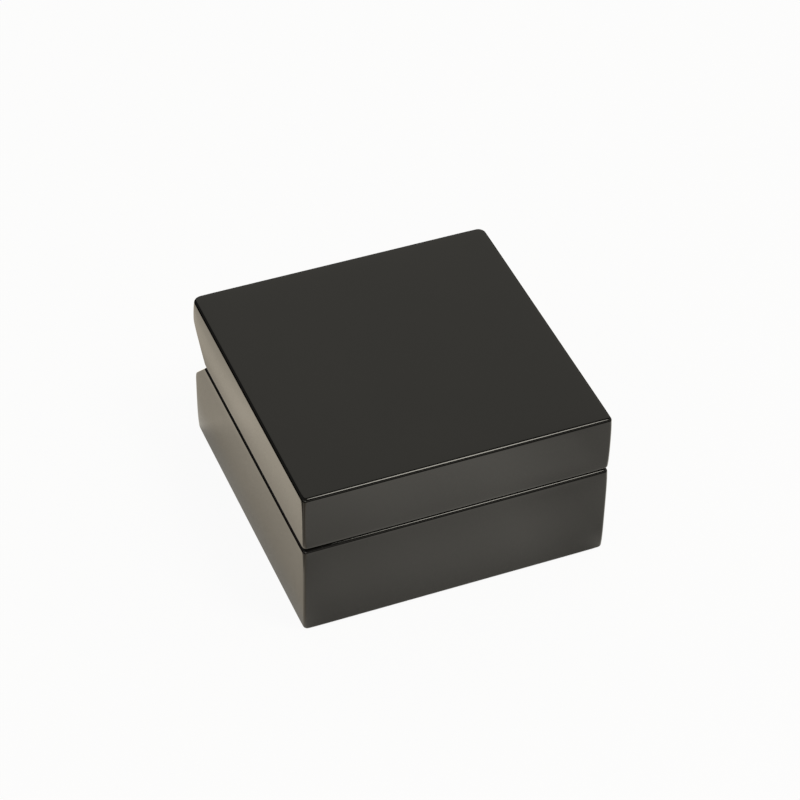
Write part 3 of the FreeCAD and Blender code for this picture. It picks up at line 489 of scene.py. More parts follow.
def softened(corners, radius, steps=6):
    """A closed profile whose corners are rounded by arcs.

    Each arc touches both sides at radius x tan(half the turn) from the corner, and
    no further along than 0.45 of the shorter side.
    """
    corners = np.asarray(corners, float)
    radius = np.broadcast_to(np.asarray(radius, float), len(corners))
    into = corners - np.roll(corners, 1, 0)
    out = np.roll(corners, -1, 0) - corners
    length_in, length_out = (np.linalg.norm(v, axis=1) for v in (into, out))
    into, out = into / length_in[:, None], out / length_out[:, None]
    turn = np.arctan2(into[:, 0] * out[:, 1] - into[:, 1] * out[:, 0], (into * out).sum(1))
    reach = np.minimum(radius * np.abs(np.tan(turn / 2)), 0.45 * np.minimum(length_in, length_out))
    share = np.linspace(0, 1, steps)[None, :, None]
    first = (corners - into * reach[:, None])[:, None]
    last = (corners + out * reach[:, None])[:, None]
    middle = corners[:, None]
    # A conic through both touch points, weighted so that it is the circle's arc
    weight = np.cos(turn / 2)[:, None, None]
    low, mid, high = (1 - share) ** 2, 2 * share * (1 - share) * weight, share**2
    arcs = (low * first + mid * middle + high * last) / (low + mid + high)
    return arcs.reshape(-1, 2)


def turned(profile, centre=(0.0, 0.0), segments=192, ripple=None):
    """A profile of radius and height carried round an upright axis.

    ripple(radius, height, angle) may give another radius and height.
    """
    angle = np.linspace(0, 2 * np.pi, segments, endpoint=False)[None, :]
    profile = np.asarray(profile, float)
    radius = np.broadcast_to(profile[:, :1], (len(profile), segments))
    height = np.broadcast_to(profile[:, 1:], (len(profile), segments))
    if ripple:
        radius, height = ripple(radius, height, angle)
    x = centre[0] + radius * np.cos(angle)
    y = centre[1] + radius * np.sin(angle)
    return np.stack([x, y, height], -1)


def board_grid(low, high, axis, edge, corner=0.5):
    """A wrapped board with rounded edges, as rings from the middle of one face, over
    the edge, to the middle of the other."""
    across = [k for k in range(3) if k != axis]
    centre, half = (low + high) / 2, (high - low) / 2
    a, b, thick = half[[*across, axis]]
    edge = min(edge, thick * 0.98)
    short = min(a, b)
    arc = np.linspace(0, np.pi / 2, 7)
    sweep = 1 - np.array([0.25, 0.5, 0.72, 0.87, 0.95, 0.985, 0.9985])
    level = np.concatenate([np.full(7, thick), thick - edge + edge * np.cos(arc)])
    inset = np.concatenate([np.full(7, edge), edge - edge * np.sin(arc)])
    sweep = np.concatenate([sweep, np.zeros(14), sweep[::-1]])
    level, inset = np.concatenate([level, -level[::-1]]), np.concatenate([inset, inset[::-1]])
    set_in = inset + sweep * (short - edge)
    radius = np.maximum(corner - inset, 0.05) + sweep * 0.2 * short
    plan = rounded_plan(a - set_in, -(b - set_in), b - set_in, radius, radius, 16, 6)
    points = np.empty((*plan.shape[:2], 3))
    points[..., across] = plan
    points[..., axis] = level[:, None]
    return centre + points


# Sizes and colours that a user would change


def length(default, name, description):
    """A length property shown in the scene's unit."""
    return bpy.props.FloatProperty(
        name=name, description=description, default=default * MM, unit="LENGTH", precision=5
    )


def tint(default, name, description):
    """A colour property."""
    return bpy.props.FloatVectorProperty(
        name=name, description=description, default=default, subtype="COLOR", size=3, min=0, max=1
    )


class BoxSettings(bpy.types.PropertyGroup):
    """Sizes and colours of the lacquered box."""

    edge_round: length(1.2, "Edge round", "Radius of the edges round the top and the bottom")
    corner_round: length(0.9, "Corner round", "Radius of the upright corners")
    corner_buffing: length(0.7, "Corner buffing", "Extra radius at the upright corners' ends")
    rear_buffing: length(1.3, "Rear buffing", "Extra radius of the back corners' outer ends")
    base_bevel_round: length(0.8, "Base bevel corner", "Radius beside the base's bevel")
    lid_bevel_round: length(1.6, "Lid bevel corner", "Radius beside the lid's bevel")
    rim_round: length(1.3, "Rim round", "Radius of the edges beside the seam")
    inner_round: length(0.3, "Inner round", "Radius of the rims' inner edges")
    base_nose: length(1.5, "Base nose", "Radius at the top of the base's bevel")
    lid_nose: length(2.5, "Lid nose", "Radius at the bottom of the lid's bevel")
    heel_round: length(5.5, "Heel round", "Radius where a bevel meets the back")
    buffing: length(0.14, "Buffing", "How far polishing has eased each face beside its edges")
    buffing_reach: length(2.5, "Buffing reach", "How far that easing reaches into a face")
    orange_peel: length(0.004, "Orange peel", "Depth of the lacquer's unevenness")
    lacquer: tint((0.0036, 0.0033, 0.0027), "Lacquer", "Colour of the lacquer's body")
    suede: tint((0.30, 0.262, 0.215), "Suede", "Colour of the lining and the clock panel")
    felt: tint((0.016, 0.016, 0.015), "Felt", "Colour of the felt underneath")
    brass: tint((0.76, 0.58, 0.32), "Brass", "Colour of the hinges")


class ClockSettings(bpy.types.PropertyGroup):
    """Sizes and colours of the clock."""

    numeral_height: length(3.6, "Numeral height", "Height of the hour numerals")
    numeral_circle: length(16.6, "Numeral circle", "Radius on which the numerals stand")
    track_circle: length(21.3, "Track circle", "Outer radius of the minute track")
    print_thickness: length(0.02, "Print thickness", "How far the printing stands off the dial")
    chrome: tint((0.80, 0.80, 0.81), "Chrome", "Colour of the bezel")
    dial: tint((0.83, 0.81, 0.755), "Dial", "Colour of the dial")
    ring: tint((0.66, 0.65, 0.62), "Ring", "Colour of the sloped ring round the dial")
    ink: tint((0.008, 0.008, 0.009), "Ink", "Colour of the numerals, marks and hour hands")
    lume: tint((0.62, 0.68, 0.52), "Inlay", "Colour of the inlay in the hands")
    sweep: tint((0.50, 0.022, 0.016), "Sweep", "Colour of the second hand")


class StageSettings(bpy.types.PropertyGroup):
    """Camera, lamps and floor."""

    camera_place: bpy.props.FloatVectorProperty(
        name="Camera place",
        description="Where the camera stands",
        default=(-0.25535, -0.61079, 0.63055),
        subtype="TRANSLATION",
        unit="LENGTH",
    )
    camera_turn: bpy.props.FloatVectorProperty(
        name="Camera turn",
        description="Rotation of the camera about X, Y and Z",
        default=tuple(math.radians(v) for v in (48.1147, -0.8652, -21.9907)),
        subtype="EULER",
        unit="ROTATION",
    )
    lens: bpy.props.FloatProperty(
        name="Lens", description="Focal length on a 36 mm sensor", default=128.19, unit="CAMERA"
    )
    lamp: tint((1.0, 0.965, 0.85), "Lamps", "Colour of the lamps")
    floor: tint((0.86, 0.845, 0.81), "Floor", "Colour of the floor")
    # Colours of the floor's painted reflection in the lacquer, warmer at the left side
    floor_gloss: tint((1.0, 0.96, 0.865), "Floor in gloss", "Colour of the floor in reflections")
    floor_gloss_left: tint((1.0, 0.897, 0.73), "Left floor in gloss", "The same at the left side")


# Box


def wall_profile(height, nose, beside):
    """Insets of the sides and the place of the back, by distance from the rim.

    The sides follow a quarter circle at the rim and another at the far edge. The
    back follows the nose's arc, the 45 degree bevel, the heel's arc and the upright.
    """
    s = bpy.context.scene.clock_box
    rim, edge, heel = s.rim_round / MM, s.edge_round / MM, s.heel_round / MM
    eighth = math.tan(math.pi / 8)
    quarter = np.linspace(0, np.pi / 2, 10)
    half_quarter = np.linspace(0, np.pi / 4, 9)
    heel_end = GROOVE + heel * eighth
    stations = [
        rim - rim * np.cos(quarter),
        nose - nose * np.cos(half_quarter),
        heel_end - heel * np.sin(half_quarter),
        height - edge + edge * np.sin(quarter),
        [nose * 0.4, 2.0, 4.0, 7.0, GROOVE - 1.2, heel_end + 0.1, heel_end + 1.0],
        np.linspace(heel_end + 2.0, height - edge - 0.1, 9),
    ]
    t = np.unique(np.round(np.concatenate(stations), 4))
    near, far = t < rim, t > height - edge
    inset = np.zeros_like(t)
    inset[near] = rim - np.sqrt(rim**2 - (rim - t[near]) ** 2)
    inset[far] = edge - np.sqrt(np.maximum(edge**2 - (t[far] - height + edge) ** 2, 0))
    back = np.where(t < GROOVE, t - GROOVE, 0.0)
    arc = t < nose * (1 - math.cos(math.pi / 4))
    back[arc] = -GROOVE - nose * eighth + np.sqrt(nose**2 - (nose - t[arc]) ** 2)
    bend = (t > heel_end - heel * math.sin(math.pi / 4)) & (t < heel_end)
    back[bend] = -heel + np.sqrt(heel**2 - (heel_end - t[bend]) ** 2)
    back[far] = -inset[far]
    # Buffing rounds the upright corners more towards their ends
    buffed = s.corner_buffing / MM * (np.exp(-t / 3.0) + np.exp((t - height) / 3.0))
    upright = s.corner_round / MM + buffed
    corner = np.maximum(upright - inset, 0.03)
    upright = upright + s.rear_buffing / MM * np.exp((t - height) / 4.0)
    share = np.clip((t - GROOVE + 1.0) / 2.2, 0, 1)
    back_corner = beside + (upright - beside) * share * share * (3 - 2 * share)
    back_corner = np.where(far, np.maximum(upright - inset, 0.03), back_corner)
    back_corner = np.where(near, np.maximum(back_corner - inset, 0.03), back_corner)
    return t, inset, back, corner, back_corner


def eased(p, low, high):
    """Outer points drawn in beside the edges, as buffing wheels leave them.

    A face moves in by depth x exp(-distance / reach) for each edge beside it, in
    proportion to how squarely the surface faces that way.
    """
    s = bpy.context.scene.clock_box
    depth, reach = s.buffing / MM, s.buffing_reach / MM
    around = np.roll(p, -1, 1) - np.roll(p, 1, 1)
    normal = np.cross(around, np.gradient(p, axis=0))
    normal /= np.linalg.norm(normal, axis=-1, keepdims=True) + 1e-12
    centre, half = (low + high) / 2, (high - low) / 2
    near = np.exp(-np.maximum(half - np.abs(p - centre), 0) / reach)
    other = near.sum(-1, keepdims=True) - near
    return p - depth * np.sign(p - centre) * np.abs(normal) * np.minimum(other, 1.5)


def shell_grid(rim, way, height, nose, beside, depth, recess=None):
    """Base or lid as one closed surface, from the middle of its outer face, over the
    walls and the rim, to the middle of the hollow. way is +1 for the lid. recess is
    the level and the half width of the felt's bed in the underside."""
    s = bpy.context.scene.clock_box
    edge, ease = s.edge_round / MM, s.inner_round / MM
    half, far = extent("lid_top_panel")[1][:2]
    outside = rim + way * height
    t, inset, back, corner, back_corner = wall_profile(height, nose, beside)
    walls = rounded_plan(half - inset, inset - far, far + back, corner, back_corner)
    walls = raised(walls, rim + way * t)[::-1]
    cap_in = np.array([46.0, 38.0, 28.0, 18.0, 11.0, 7.0, 4.5, 2.9, 1.7, 0.8, 0.3, 0.08])
    flat = half - edge - cap_in
    rear = np.minimum(back_corner[-1], flat * 0.8)
    cap = raised(rounded_plan(flat, -flat, flat, corner[-1], rear), outside)
    unbuffed = 0
    if recess:
        bed = recess[1] - cap_in[:8] + cap_in[7]
        lip = recess[1] + np.array([0.02, 0.6])
        bed = raised(rounded_plan(bed, -bed, bed, 0.3, 0.3), recess[0])
        lip = raised(rounded_plan(lip, -lip, lip, 0.3, 0.3), outside)
        cap = np.concatenate([bed, lip, cap[-2:]])
        unbuffed = 10
    outer = np.concatenate([cap, walls])
    low, high = np.sort([[-half, -far, rim], [half, far, outside]], axis=0)
    outer[unbuffed:] = eased(outer, low, high)[unbuffed:]

    lining_low, lining_high = extent("base_lining_floor")
    x, front, rear = lining_high[0], lining_low[1], lining_high[1]
    share = np.array([0.003, 0.05, 0.5, 0.95, 0.997])
    ends = (
        (half - inset[0], x + ease),
        (inset[0] - far, front - ease),
        (far + back[0], rear + ease),
        (corner[0], 0.4),
        (back_corner[0], 0.4),
    )
    plane = raised(rounded_plan(*(a + (b - a) * share for a, b in ends)), rim)
    # The hollow: its rim's rounded edge, its walls and its floor
    quarter = np.linspace(0, np.pi / 2, 6)
    inward = np.concatenate([ease * np.sin(quarter) - ease, np.zeros(4), [0.1, 6.0, 18.0, 30.0]])
    fall = [ease - ease * np.cos(quarter), [ease + 0.1, depth * 0.5, depth - 0.1], [depth] * 5]
    bend = 0.25 + np.maximum(-inward, 0) * 0.4
    hollow = rounded_plan(x - inward, front + inward, rear - inward, bend, bend)
    return np.concatenate([outer, plane, raised(hollow, rim + way * np.concatenate(fall))])


def box_grid(low, high):
    """A plain block as a closed grid of two corner rings, for cutting with."""
    (x, y, bottom), (right, rear, top) = low, high
    ring = np.array([[x, y], [right, y], [right, rear], [x, rear]])
    return raised(np.stack([ring, ring]), [bottom, top])


def bar_grid(centre, radius, half):
    """A bar along X as a closed grid, for cutting with."""
    angle = np.linspace(0, 2 * np.pi, 64, endpoint=False)
    ring = np.stack([0 * angle, radius * np.cos(angle), radius * np.sin(angle)], -1)
    return np.array([centre + ring + [end, 0, 0] for end in (-half, half)])


def carve(mesh, name, cutters):
    """The mesh without the cutters, each a closed grid, worked out once and for all."""
    work = add_object(name, mesh)
    tools = [add_object(f"{name}_tool", Skin().grid(grid).mesh(f"{name}_tool")) for grid in cutters]
    for number, tool in enumerate(tools):
        modifier = work.modifiers.new(f"pocket{number}", "BOOLEAN")
        modifier.object = tool
        modifier.operation = "DIFFERENCE"
        modifier.solver = "EXACT"
    carved = evaluated_mesh(work)
    for thing in [work, *tools]:
        bpy.data.objects.remove(thing)
    carved.name = name
    carved.shade_smooth()
    carved.set_sharp_from_angle(angle=math.radians(32.0))
    return carved


def screw_face(part):
    """Level of the heads of a part's hinge screws, which is the face of its leaves."""
    low, high = extent(f"hinge_{part}_screws")
    return low[2] if part == "lid" else high[2]


def hinge_pockets(part, way):
    """Cutters for a rim's hinge mortises: the leaf's pocket and the knuckles' hollow."""
    cutters, play = [], 0.05
    for side in ("left", "right"):
        low, high = extent(f"hinge_{side}_{part}_leaf")
        pin_low, pin_high = extent(f"hinge_{side}_pin")
        axis = (pin_low + pin_high) / 2
        bottom, top = sorted((axis[2] - way, screw_face(part) + way * 1.02))
        corner = (high[0] + play, axis[1], top)
        cutters.append(box_grid((low[0] - play, low[1] - play, bottom), corner))
        cutters.append(bar_grid(axis, 1.9, (pin_high[0] - pin_low[0]) / 2 + play))
    return cutters


def add_shell(part, way, rim, outside, depth, recess=None):
    """The base or the lid as one lacquered piece that stands for its boards."""
    s = bpy.context.scene.clock_box
    nose, beside = (getattr(s, f"{part}_{word}") / MM for word in ("nose", "bevel_round"))
    name = f"{part}_shell"
    grid = shell_grid(rim, way, abs(outside - rim), nose, beside, depth, recess)
    mesh = carve(Skin().grid(grid).mesh(name, ["piano_lacquer"]), name, hinge_pockets(part, way))
    boards = ["lid_top_panel" if part == "lid" else "base_floor_panel"]
    boards += [f"{part}_{side}_rail" for side in ("front", "back", "left", "right")]
    settle(name, mesh, part, boards)


class CLOCKBOX_OT_base(bpy.types.Operator):
    """Base of the box: rounded lacquered walls with a bevelled back and hinge mortises"""

    bl_idname = "clock_box.base"
    bl_label = "Base"

    def execute(self, context):
        low, high = extent("base_front_rail")
        felt_high = extent("underside_felt")[1]
        depth = high[2] - extent("base_floor_panel")[1][2]
        add_shell("base", -1, high[2], low[2], depth, (felt_high[2], felt_high[0]))
        return {"FINISHED"}


class CLOCKBOX_OT_lid(bpy.types.Operator):
    """Lid of the box: one lacquered surface over its top, walls, bevel and rim"""

    bl_idname = "clock_box.lid"
    bl_label = "Lid"

    def execute(self, context):
        rim = extent("lid_front_rail")[0][2]
        depth = extent("panel_corner_blocks")[1][2] - rim
        add_shell("lid", 1, rim, extent("lid_top_panel")[1][2], depth)
        return {"FINISHED"}


class CLOCKBOX_OT_lining(bpy.types.Operator):
    """Lining of the base: suede-wrapped boards on the floor and the four walls"""

    bl_idname = "clock_box.lining"
    bl_label = "Lining"

    def execute(self, context):
        for side, axis in (("floor", 2), ("front", 1), ("back", 1), ("left", 0), ("right", 0)):
            node = f"base_lining_{side}"
            skin = Skin().grid(board_grid(*extent(node), axis, 0.55))
            skin.piece(f"suede_{side}", "base", "suede", ["brushed_suede"], [node])
        skin = Skin().grid(board_grid(*extent("underside_felt"), 2, 0.3, 1.0))
        skin.piece("felt_sheet", "base", "felt", ["pressed_felt"], ["underside_felt"])
        return {"FINISHED"}


# Radii of the head and the shank and depth of the head of the two kinds of screw
HINGE_SCREW = {"head": 1.46, "shank": 0.8, "sunk": 0.7, "long": 6.0, "flat": True}
CASE_SCREW = {"head": 1.36, "shank": 0.66, "sunk": 0.8, "flat": False}


def screw_grid(centre, z, way, turn, head, shank, sunk, long, flat):
    """A screw's surface, from the middle of its head to its point.

    The head carries a cross recess: its depth falls off from the middle as
    (1 - r / reach) wherever the point lies inside one of two bars at right angles.
    """
    reach, bar = head * 0.62, head * 0.13
    inner = np.array([0.04, 0.12, 0.2, 0.3, 0.4, 0.5, 0.58, 0.64, 0.72, 0.86, 0.95]) * head
    side, cone, tip = (0.06, shank, 0.4) if flat else (0.12, 0.2, 0.7)
    rest = [(head, 0.0), (head, side)] if flat else [(head, side), (head, sunk)]
    rest += [(shank, sunk), (shank, long - cone), (shank * tip, long)]

    def cross(radius, height, angle):
        x, y = radius * np.cos(angle - turn), radius * np.sin(angle - turn)
        inside = np.minimum(np.abs(x), np.abs(y))
        wall = np.clip((bar - inside) / (0.35 * bar) + 0.5, 0, 1)
        depth = np.clip(1 - radius / reach, 0, 1) * head * 0.55
        floor = np.minimum(depth, sunk * 0.9) * wall * (height < 0.01)
        return radius, height + floor

    grid = turned([(r, 0.0) for r in inner] + rest, centre, 96, cross)
    grid[..., 2] = z + way * grid[..., 2]
    return grid


class CLOCKBOX_OT_hinges(bpy.types.Operator):
    """Hinges: cross-recessed countersunk brass screws for the hinge leaves"""

    bl_idname = "clock_box.hinges"
    bl_label = "Hinges"

    def execute(self, context):
        for part, way in (("base", -1), ("lid", 1)):
            node = f"hinge_{part}_screws"
            low, high = extent(node)
            y = (low[1] + high[1]) / 2
            skin = Skin()
            for number, x in enumerate((-36.0, -24.0, 24.0, 36.0)):
                place, turn = ((x, y), screw_face(part), way), 0.4 + 0.9 * number
                skin.grid(screw_grid(*place, turn, **HINGE_SCREW))
            skin.piece(f"{node}_cross", part, "brass", ["hinge_brass"], [node])
        return {"FINISHED"}


# Clock


def panel_grid(low, high, centre, hole, edge):
    """The suede-faced panel: rings from its round hole out to its square edge, over
    the edge and back. Each ring lies between a circle and the outline by a share."""
    x, y = (high - low)[:2] / 2
    middle = ((low + high) / 2)[:2]
    front, back = low[2], high[2]
    outer = rounded_plan(x, -y, y, 1.0, 1.0, 20, 6)[0] + middle
    away = outer - centre[:2]
    around = np.arctan2(away[:, 1], away[:, 0])
    circle = centre[:2] + hole * np.stack([np.cos(around), np.sin(around)], -1)

    def ring(part, inset, z):
        plan = circle + (outer - circle) * part
        drawn = plan - (plan - middle) * np.array([inset / x, inset / y])
        return np.concatenate([drawn, np.full((len(plan), 1), z)], -1)

    shares = (0.0, 0.02, 0.1, 0.3, 0.6, 0.85, 0.96, 0.995)
    rings = [ring(k, edge * (k > 0.9), front) for k in shares]
    for a in np.linspace(0, np.pi / 2, 6):
        rings.append(ring(1.0, edge - edge * np.sin(a), front + edge - edge * np.cos(a)))
    return np.array(rings + [ring(k, 0.0, back) for k in (1.0, 0.6, 0.0)])


class CLOCKBOX_OT_panel(bpy.types.Operator):
    """Clock panel: a board wrapped in suede with a round hole for the clock"""

    bl_idname = "clock_box.panel"
    bl_label = "Clock panel"

    def execute(self, context):
        grid = panel_grid(*extent("clock_panel_suede"), dial_centre(), hole=27.5, edge=0.35)
        skin = Skin().grid(grid, tube=True)
        skin.piece("panel_suede", "lid", "suede", ["brushed_suede"], ["clock_panel_suede"])
        return {"FINISHED"}


def add_ring(name, slot, finish, node, profile, segments=224, crease=32.0):
    """A piece of the clock that is a closed profile turned about the dial's axis."""
    skin = Skin().grid(turned(profile, dial_centre(), segments), tube=True)
    skin.piece(name, "clock", slot, [finish], [node], crease)


class CLOCKBOX_OT_bezel(bpy.types.Operator):
    """Bezel, lens and the sloped ring round the dial"""

    bl_idname = "clock_box.bezel"
    bl_label = "Bezel and lens"

    def execute(self, context):
        low, high = extent("clock_bezel")
        lens_low, lens_high = extent("clock_lens")
        outer, seat = (high[0] - low[0]) / 2, (lens_high[0] - lens_low[0]) / 2
        front, back, glass = low[2], high[2], lens_low[2]
        # Foot, waist, crowned lip and the slope down to the glass
        profile = [(seat + 0.05, back), (outer, back), (outer, back - 0.85)]
        profile += [(outer - 0.35, back - 1.1), (outer - 0.55, back - 1.55)]
        profile += [(outer - 1.15, front + 0.95), (outer - 2.5, front), (outer - 3.7, front + 0.05)]
        profile += [(outer - 4.3, front + 0.5), (outer - 4.6, front + 0.55)]
        profile += [(GLASS_EDGE, glass - 0.45), (GLASS_EDGE, glass), (seat + 0.05, glass)]
        radii = [0.05, 0.12, 0.25, 0.15, 0.4, 1.2, 0.8, 0.5, 0.12, 0.12, 0.2, 0.05, 0.05]
        profile = softened(profile, radii, 8)
        add_ring("bezel_ring", "chrome", "turned_chrome", "clock_bezel", profile, 256, 40.0)

        # The glass is domed by 0.12 towards the eye and bevelled at its rim
        r = np.array([1.0, 4.0, 8.0, 12.0, 16.0, 20.0, 23.0, seat - 0.6])
        rim = [(seat - 0.05, glass + 0.35), (seat, glass + 0.5), (seat, lens_high[2] - 0.1)]
        under = [(k, lens_high[2]) for k in (seat - 0.1, 18.0, 9.0, 1.0)]
        profile = [*zip(r, glass + 0.12 * (r / seat) ** 2), *rim, *under]
        skin = Skin().grid(turned(profile, dial_centre(), 192))
        skin.piece("lens_glass", "clock", "lens", ["lens_clear"], ["clock_lens"], 25.0)

        top, foot = extent("dial_ring")[0][2], extent("dial_ring")[1][2]
        slope = [(seat, top), (GLASS_EDGE, top), (23.9, top + 0.5), (22.9, foot), (seat, foot)]
        slope = softened(slope, [0.05, 0.15, 0.3, 0.05, 0.05], 5)
        add_ring("ring_slope", "ring_satin", "satin_ring", "dial_ring", slope)
        return {"FINISHED"}


def add_marks(skin, z, thick, angles, inner, outer, width):
    """Radial bars of the minute track: each is a thin block turned to its angle."""
    for angle in angles:
        out = np.array([math.sin(angle), -math.cos(angle)])
        side = np.array([math.cos(angle), math.sin(angle)]) * width / 2
        corners = ((inner, -1), (inner, 1), (outer, 1), (outer, -1))
        ring = np.array([out * r + side * w for r, w in corners]) + dial_centre()[:2]
        skin.grid(raised(np.stack([ring, ring]), [z - thick, z + 0.01]))


def numeral_mesh(text, height, thick, place):
    """A numeral as a mesh: text made to its height and thickness, turned to the eye
    below the dial and moved to its place. Its right is +X and its top is -Y."""
    curve = bpy.data.curves.new(f"numeral_{text}", "FONT")
    curve.body = text
    curve.offset = 0.001
    curve.resolution_u = 12
    curve.extrude = 0.02
    holder = add_object(f"numeral_{text}", curve)
    mesh = evaluated_mesh(holder)
    bpy.data.objects.remove(holder)
    bpy.data.curves.remove(curve)
    p = np.zeros(len(mesh.vertices) * 3)
    mesh.vertices.foreach_get("co", p)
    p = p.reshape(-1, 3)
    low, high = p.min(0), p.max(0)
    flat = (p - (low + high) / 2)[:, :2] * (height / (high[1] - low[1])) * [1, -1]
    p = np.hstack([flat, -np.sign(p[:, 2:]) * thick / 2]) + place
    mesh.vertices.foreach_set("co", (p * MM).ravel())
    mesh.materials.clear()
    mesh.materials.append(shared("dial_ink"))
    mesh.update()
    return mesh


class CLOCKBOX_OT_dial(bpy.types.Operator):
    """Dial: sunray disc, minute track, hour numerals and a printed inner circle"""

    bl_idname = "clock_box.dial"
    bl_label = "Dial"

    def execute(self, context):
        c = context.scene.clock_box_clock
        centre = dial_centre()
        low, high = extent("dial")
        seat, front, back = (high[0] - low[0]) / 2, low[2], high[2]
        dip, bore = front + 0.03, 1.66
        profile = [(bore, back), (bore, front + 0.04), (1.75, front), (9.0, front), (9.2, dip)]
        profile += [(20.3, dip), (20.5, front), (seat - 0.1, front), (seat, front + 0.1)]
        profile.append((seat, back))
        add_ring("dial_disc", "dial_paint", "sunray_dial", "dial", profile)

        thick, track = c.print_thickness / MM, c.track_circle / MM
        skin = Skin()
        minutes = [2 * math.pi * k / 60 for k in range(60) if k % 5]
        hours = [2 * math.pi * k / 12 for k in range(12)]
        add_marks(skin, front, thick, minutes, track - 1.15, track, 0.16)
        add_marks(skin, front, thick, hours, track - 1.5, track, 0.5)
        for outer, width in ((track + 0.12, 0.12), (track - 1.6, 0.08), (9.1, 0.08)):
            inner, sunk, proud = outer - width, front + 0.04, front - thick
            line = [(inner, sunk), (inner, proud), (outer, proud), (outer, sunk)]
            skin.grid(turned(line, centre, 224), tube=True)
        settle("dial_marks", skin.mesh("dial_marks", ["dial_ink"], 20.0), "clock")
        circle, height = c.numeral_circle / MM, c.numeral_height / MM
        for number in range(1, 13):
            angle = 2 * math.pi * number / 12
            x, y = circle * math.sin(angle), -circle * math.cos(angle)
            place = centre * [1, 1, 0] + np.array([x, y, front + 0.03 - thick])
            mesh = numeral_mesh(str(number), height, thick * 2, place)
            settle(f"numeral_{number:02d}", mesh, "clock")
        return {"FINISHED"}


def blade_grid(stations, widths, z, thick, ridge):
    """A hand's blade along -Y: at each station its section is an edge, a shoulder, a
    ridge towards the eye, and a flat back. The ridge stands ridge proud of the edge."""
    stations, widths = np.asarray(stations, float), np.asarray(widths, float)
    across = np.array([-1.0, -0.92, -0.45, 0.0, 0.45, 0.92, 1.0, 1.0, 0.0, -1.0])
    lift = np.array([0.45, 0.3, 0.12, 0.0, 0.12, 0.3, 0.45, 1.0, 1.0, 1.0])
    x = widths[:, None] * across
    y = np.broadcast_to(-stations[:, None], x.shape)
    height = np.broadcast_to(z + thick * (lift * ridge + (lift >= 1.0) * (1 - ridge)), x.shape)
    return np.stack([x, y, height], -1)


def clockwise(grid, degrees, centre):
    """Points turned clockwise from twelve, as the dial is read, and set on its axis."""
    angle = math.radians(degrees)
    c, s = math.cos(angle), math.sin(angle)
    spun = grid.copy()
    spun[..., 0] = c * grid[..., 0] - s * grid[..., 1] + centre[0]
    spun[..., 1] = s * grid[..., 0] + c * grid[..., 1] + centre[1]
    return spun


def hub_grid(radius, z, thick, bore=None):
    """A hand's round hub, with a soft edge towards the eye."""
    foot = z + thick
    if bore is None:
        profile = [(radius * 0.2, z), (radius * 0.7, z + 0.02), (radius * 0.93, z + 0.07)]
        profile += [(radius, z + 0.14), (radius, foot), (radius * 0.3, foot)]
    else:
        profile = [(bore, foot), (bore, z + 0.03), (bore + 0.05, z), (radius * 0.9, z)]
        profile += [(radius, z + 0.06), (radius, foot)]
    return turned(profile, (0, 0), 72)


class CLOCKBOX_OT_hands(bpy.types.Operator):
    """Hands: bevelled hour and minute batons with inlays, a red second hand and a
    slim alarm hand"""

    bl_idname = "clock_box.hands"
    bl_label = "Hands"

    def execute(self, context):
        centre = dial_centre()
        # Hand, body, degrees from twelve, reach, half width, hub's radius and its bore
        rows = (
            ("hour_hand", "hour", 304.8, 12.5, 1.0, 2.1, 1.27),
            ("minute_hand", "minute", 57.6, 19.0, 0.75, 1.7, 0.87),
            ("alarm_hand", "alarm", 180.0, 10.0, 0.45, 2.05, 1.66),
        )
        for name, body, angle, reach, half, hub, bore in rows:
            low, high = extent(name)
            z, thick = low[2], high[2] - low[2]
            skin = Skin()
            stations = [hub * 0.7, hub + 0.4, reach * 0.5]
            stations += [reach - share * half for share in (2.4, 1.0, 0.25, 0.0)]
            widths = half * np.array([0.8, 0.95, 0.9, 0.84, 0.5, 0.16, 0.03])
            skin.grid(clockwise(blade_grid(stations, widths, z, thick, 0.85), angle, centre))
            skin.grid(clockwise(hub_grid(hub, z, thick, bore), angle, centre), tube=True)
            slot, finishes = "brass", ["hand_brass"]
            if name != "alarm_hand":
                span = [hub + 1.6, hub + 1.8, reach - 3.2 * half, reach - 2.9 * half]
                widths = half * np.array([0.28, 0.42, 0.36, 0.2])
                inlay = blade_grid(span, widths, z - 0.015, 0.12, 0.2)
                skin.grid(clockwise(inlay, angle, centre), tint=1)
                slot, finishes = "hand_paint", ["hand_black", "hand_inlay"]
            skin.piece(f"{name}_baton", body, slot, finishes, [name], 24.0)

        low, high = extent("second_hand")
        z, thick = low[2], high[2] - low[2]
        skin = Skin()
        stations = [-6.0, -5.9, -4.6, -2.0, 0.0, 8.0, 20.2, 20.5]
        widths = [0.3, 0.42, 0.4, 0.22, 0.25, 0.17, 0.1, 0.04]
        for grid in (blade_grid(stations, widths, z, thick, 0.6), hub_grid(1.3, z, thick)):
            skin.grid(clockwise(grid, 216.0, centre))
        skin.piece("second_hand_sweep", "second", "hand_red", ["sweep_red"], ["second_hand"], 24.0)
        return {"FINISHED"}


# Back of the movement and what it hides


def knob_grid(foot, top, centre, radius=3.5, ribs=28):
    """A setting knob: a cap whose side is knurled by half waves, with a dished end."""
    profile = [(0.6, top - 0.22), (radius * 0.45, top - 0.2), (radius * 0.62, top - 0.02)]
    profile += [(radius * 0.82, top), (radius * 0.92, top - 0.1), (radius, top - 0.35)]
    profile += [(radius, (top + foot) / 2), (radius, foot + 0.3), (radius * 0.96, foot + 0.1)]
    profile += [(radius * 0.9, foot), (1.0, foot)]

    def knurl(r, z, angle):
        side = np.clip((r - radius * 0.9) / (radius * 0.08), 0, 1)
        return r - side * radius * 0.06 * np.abs(np.sin(ribs * angle / 2)), z

    return turned(profile, centre, ribs * 8, knurl)


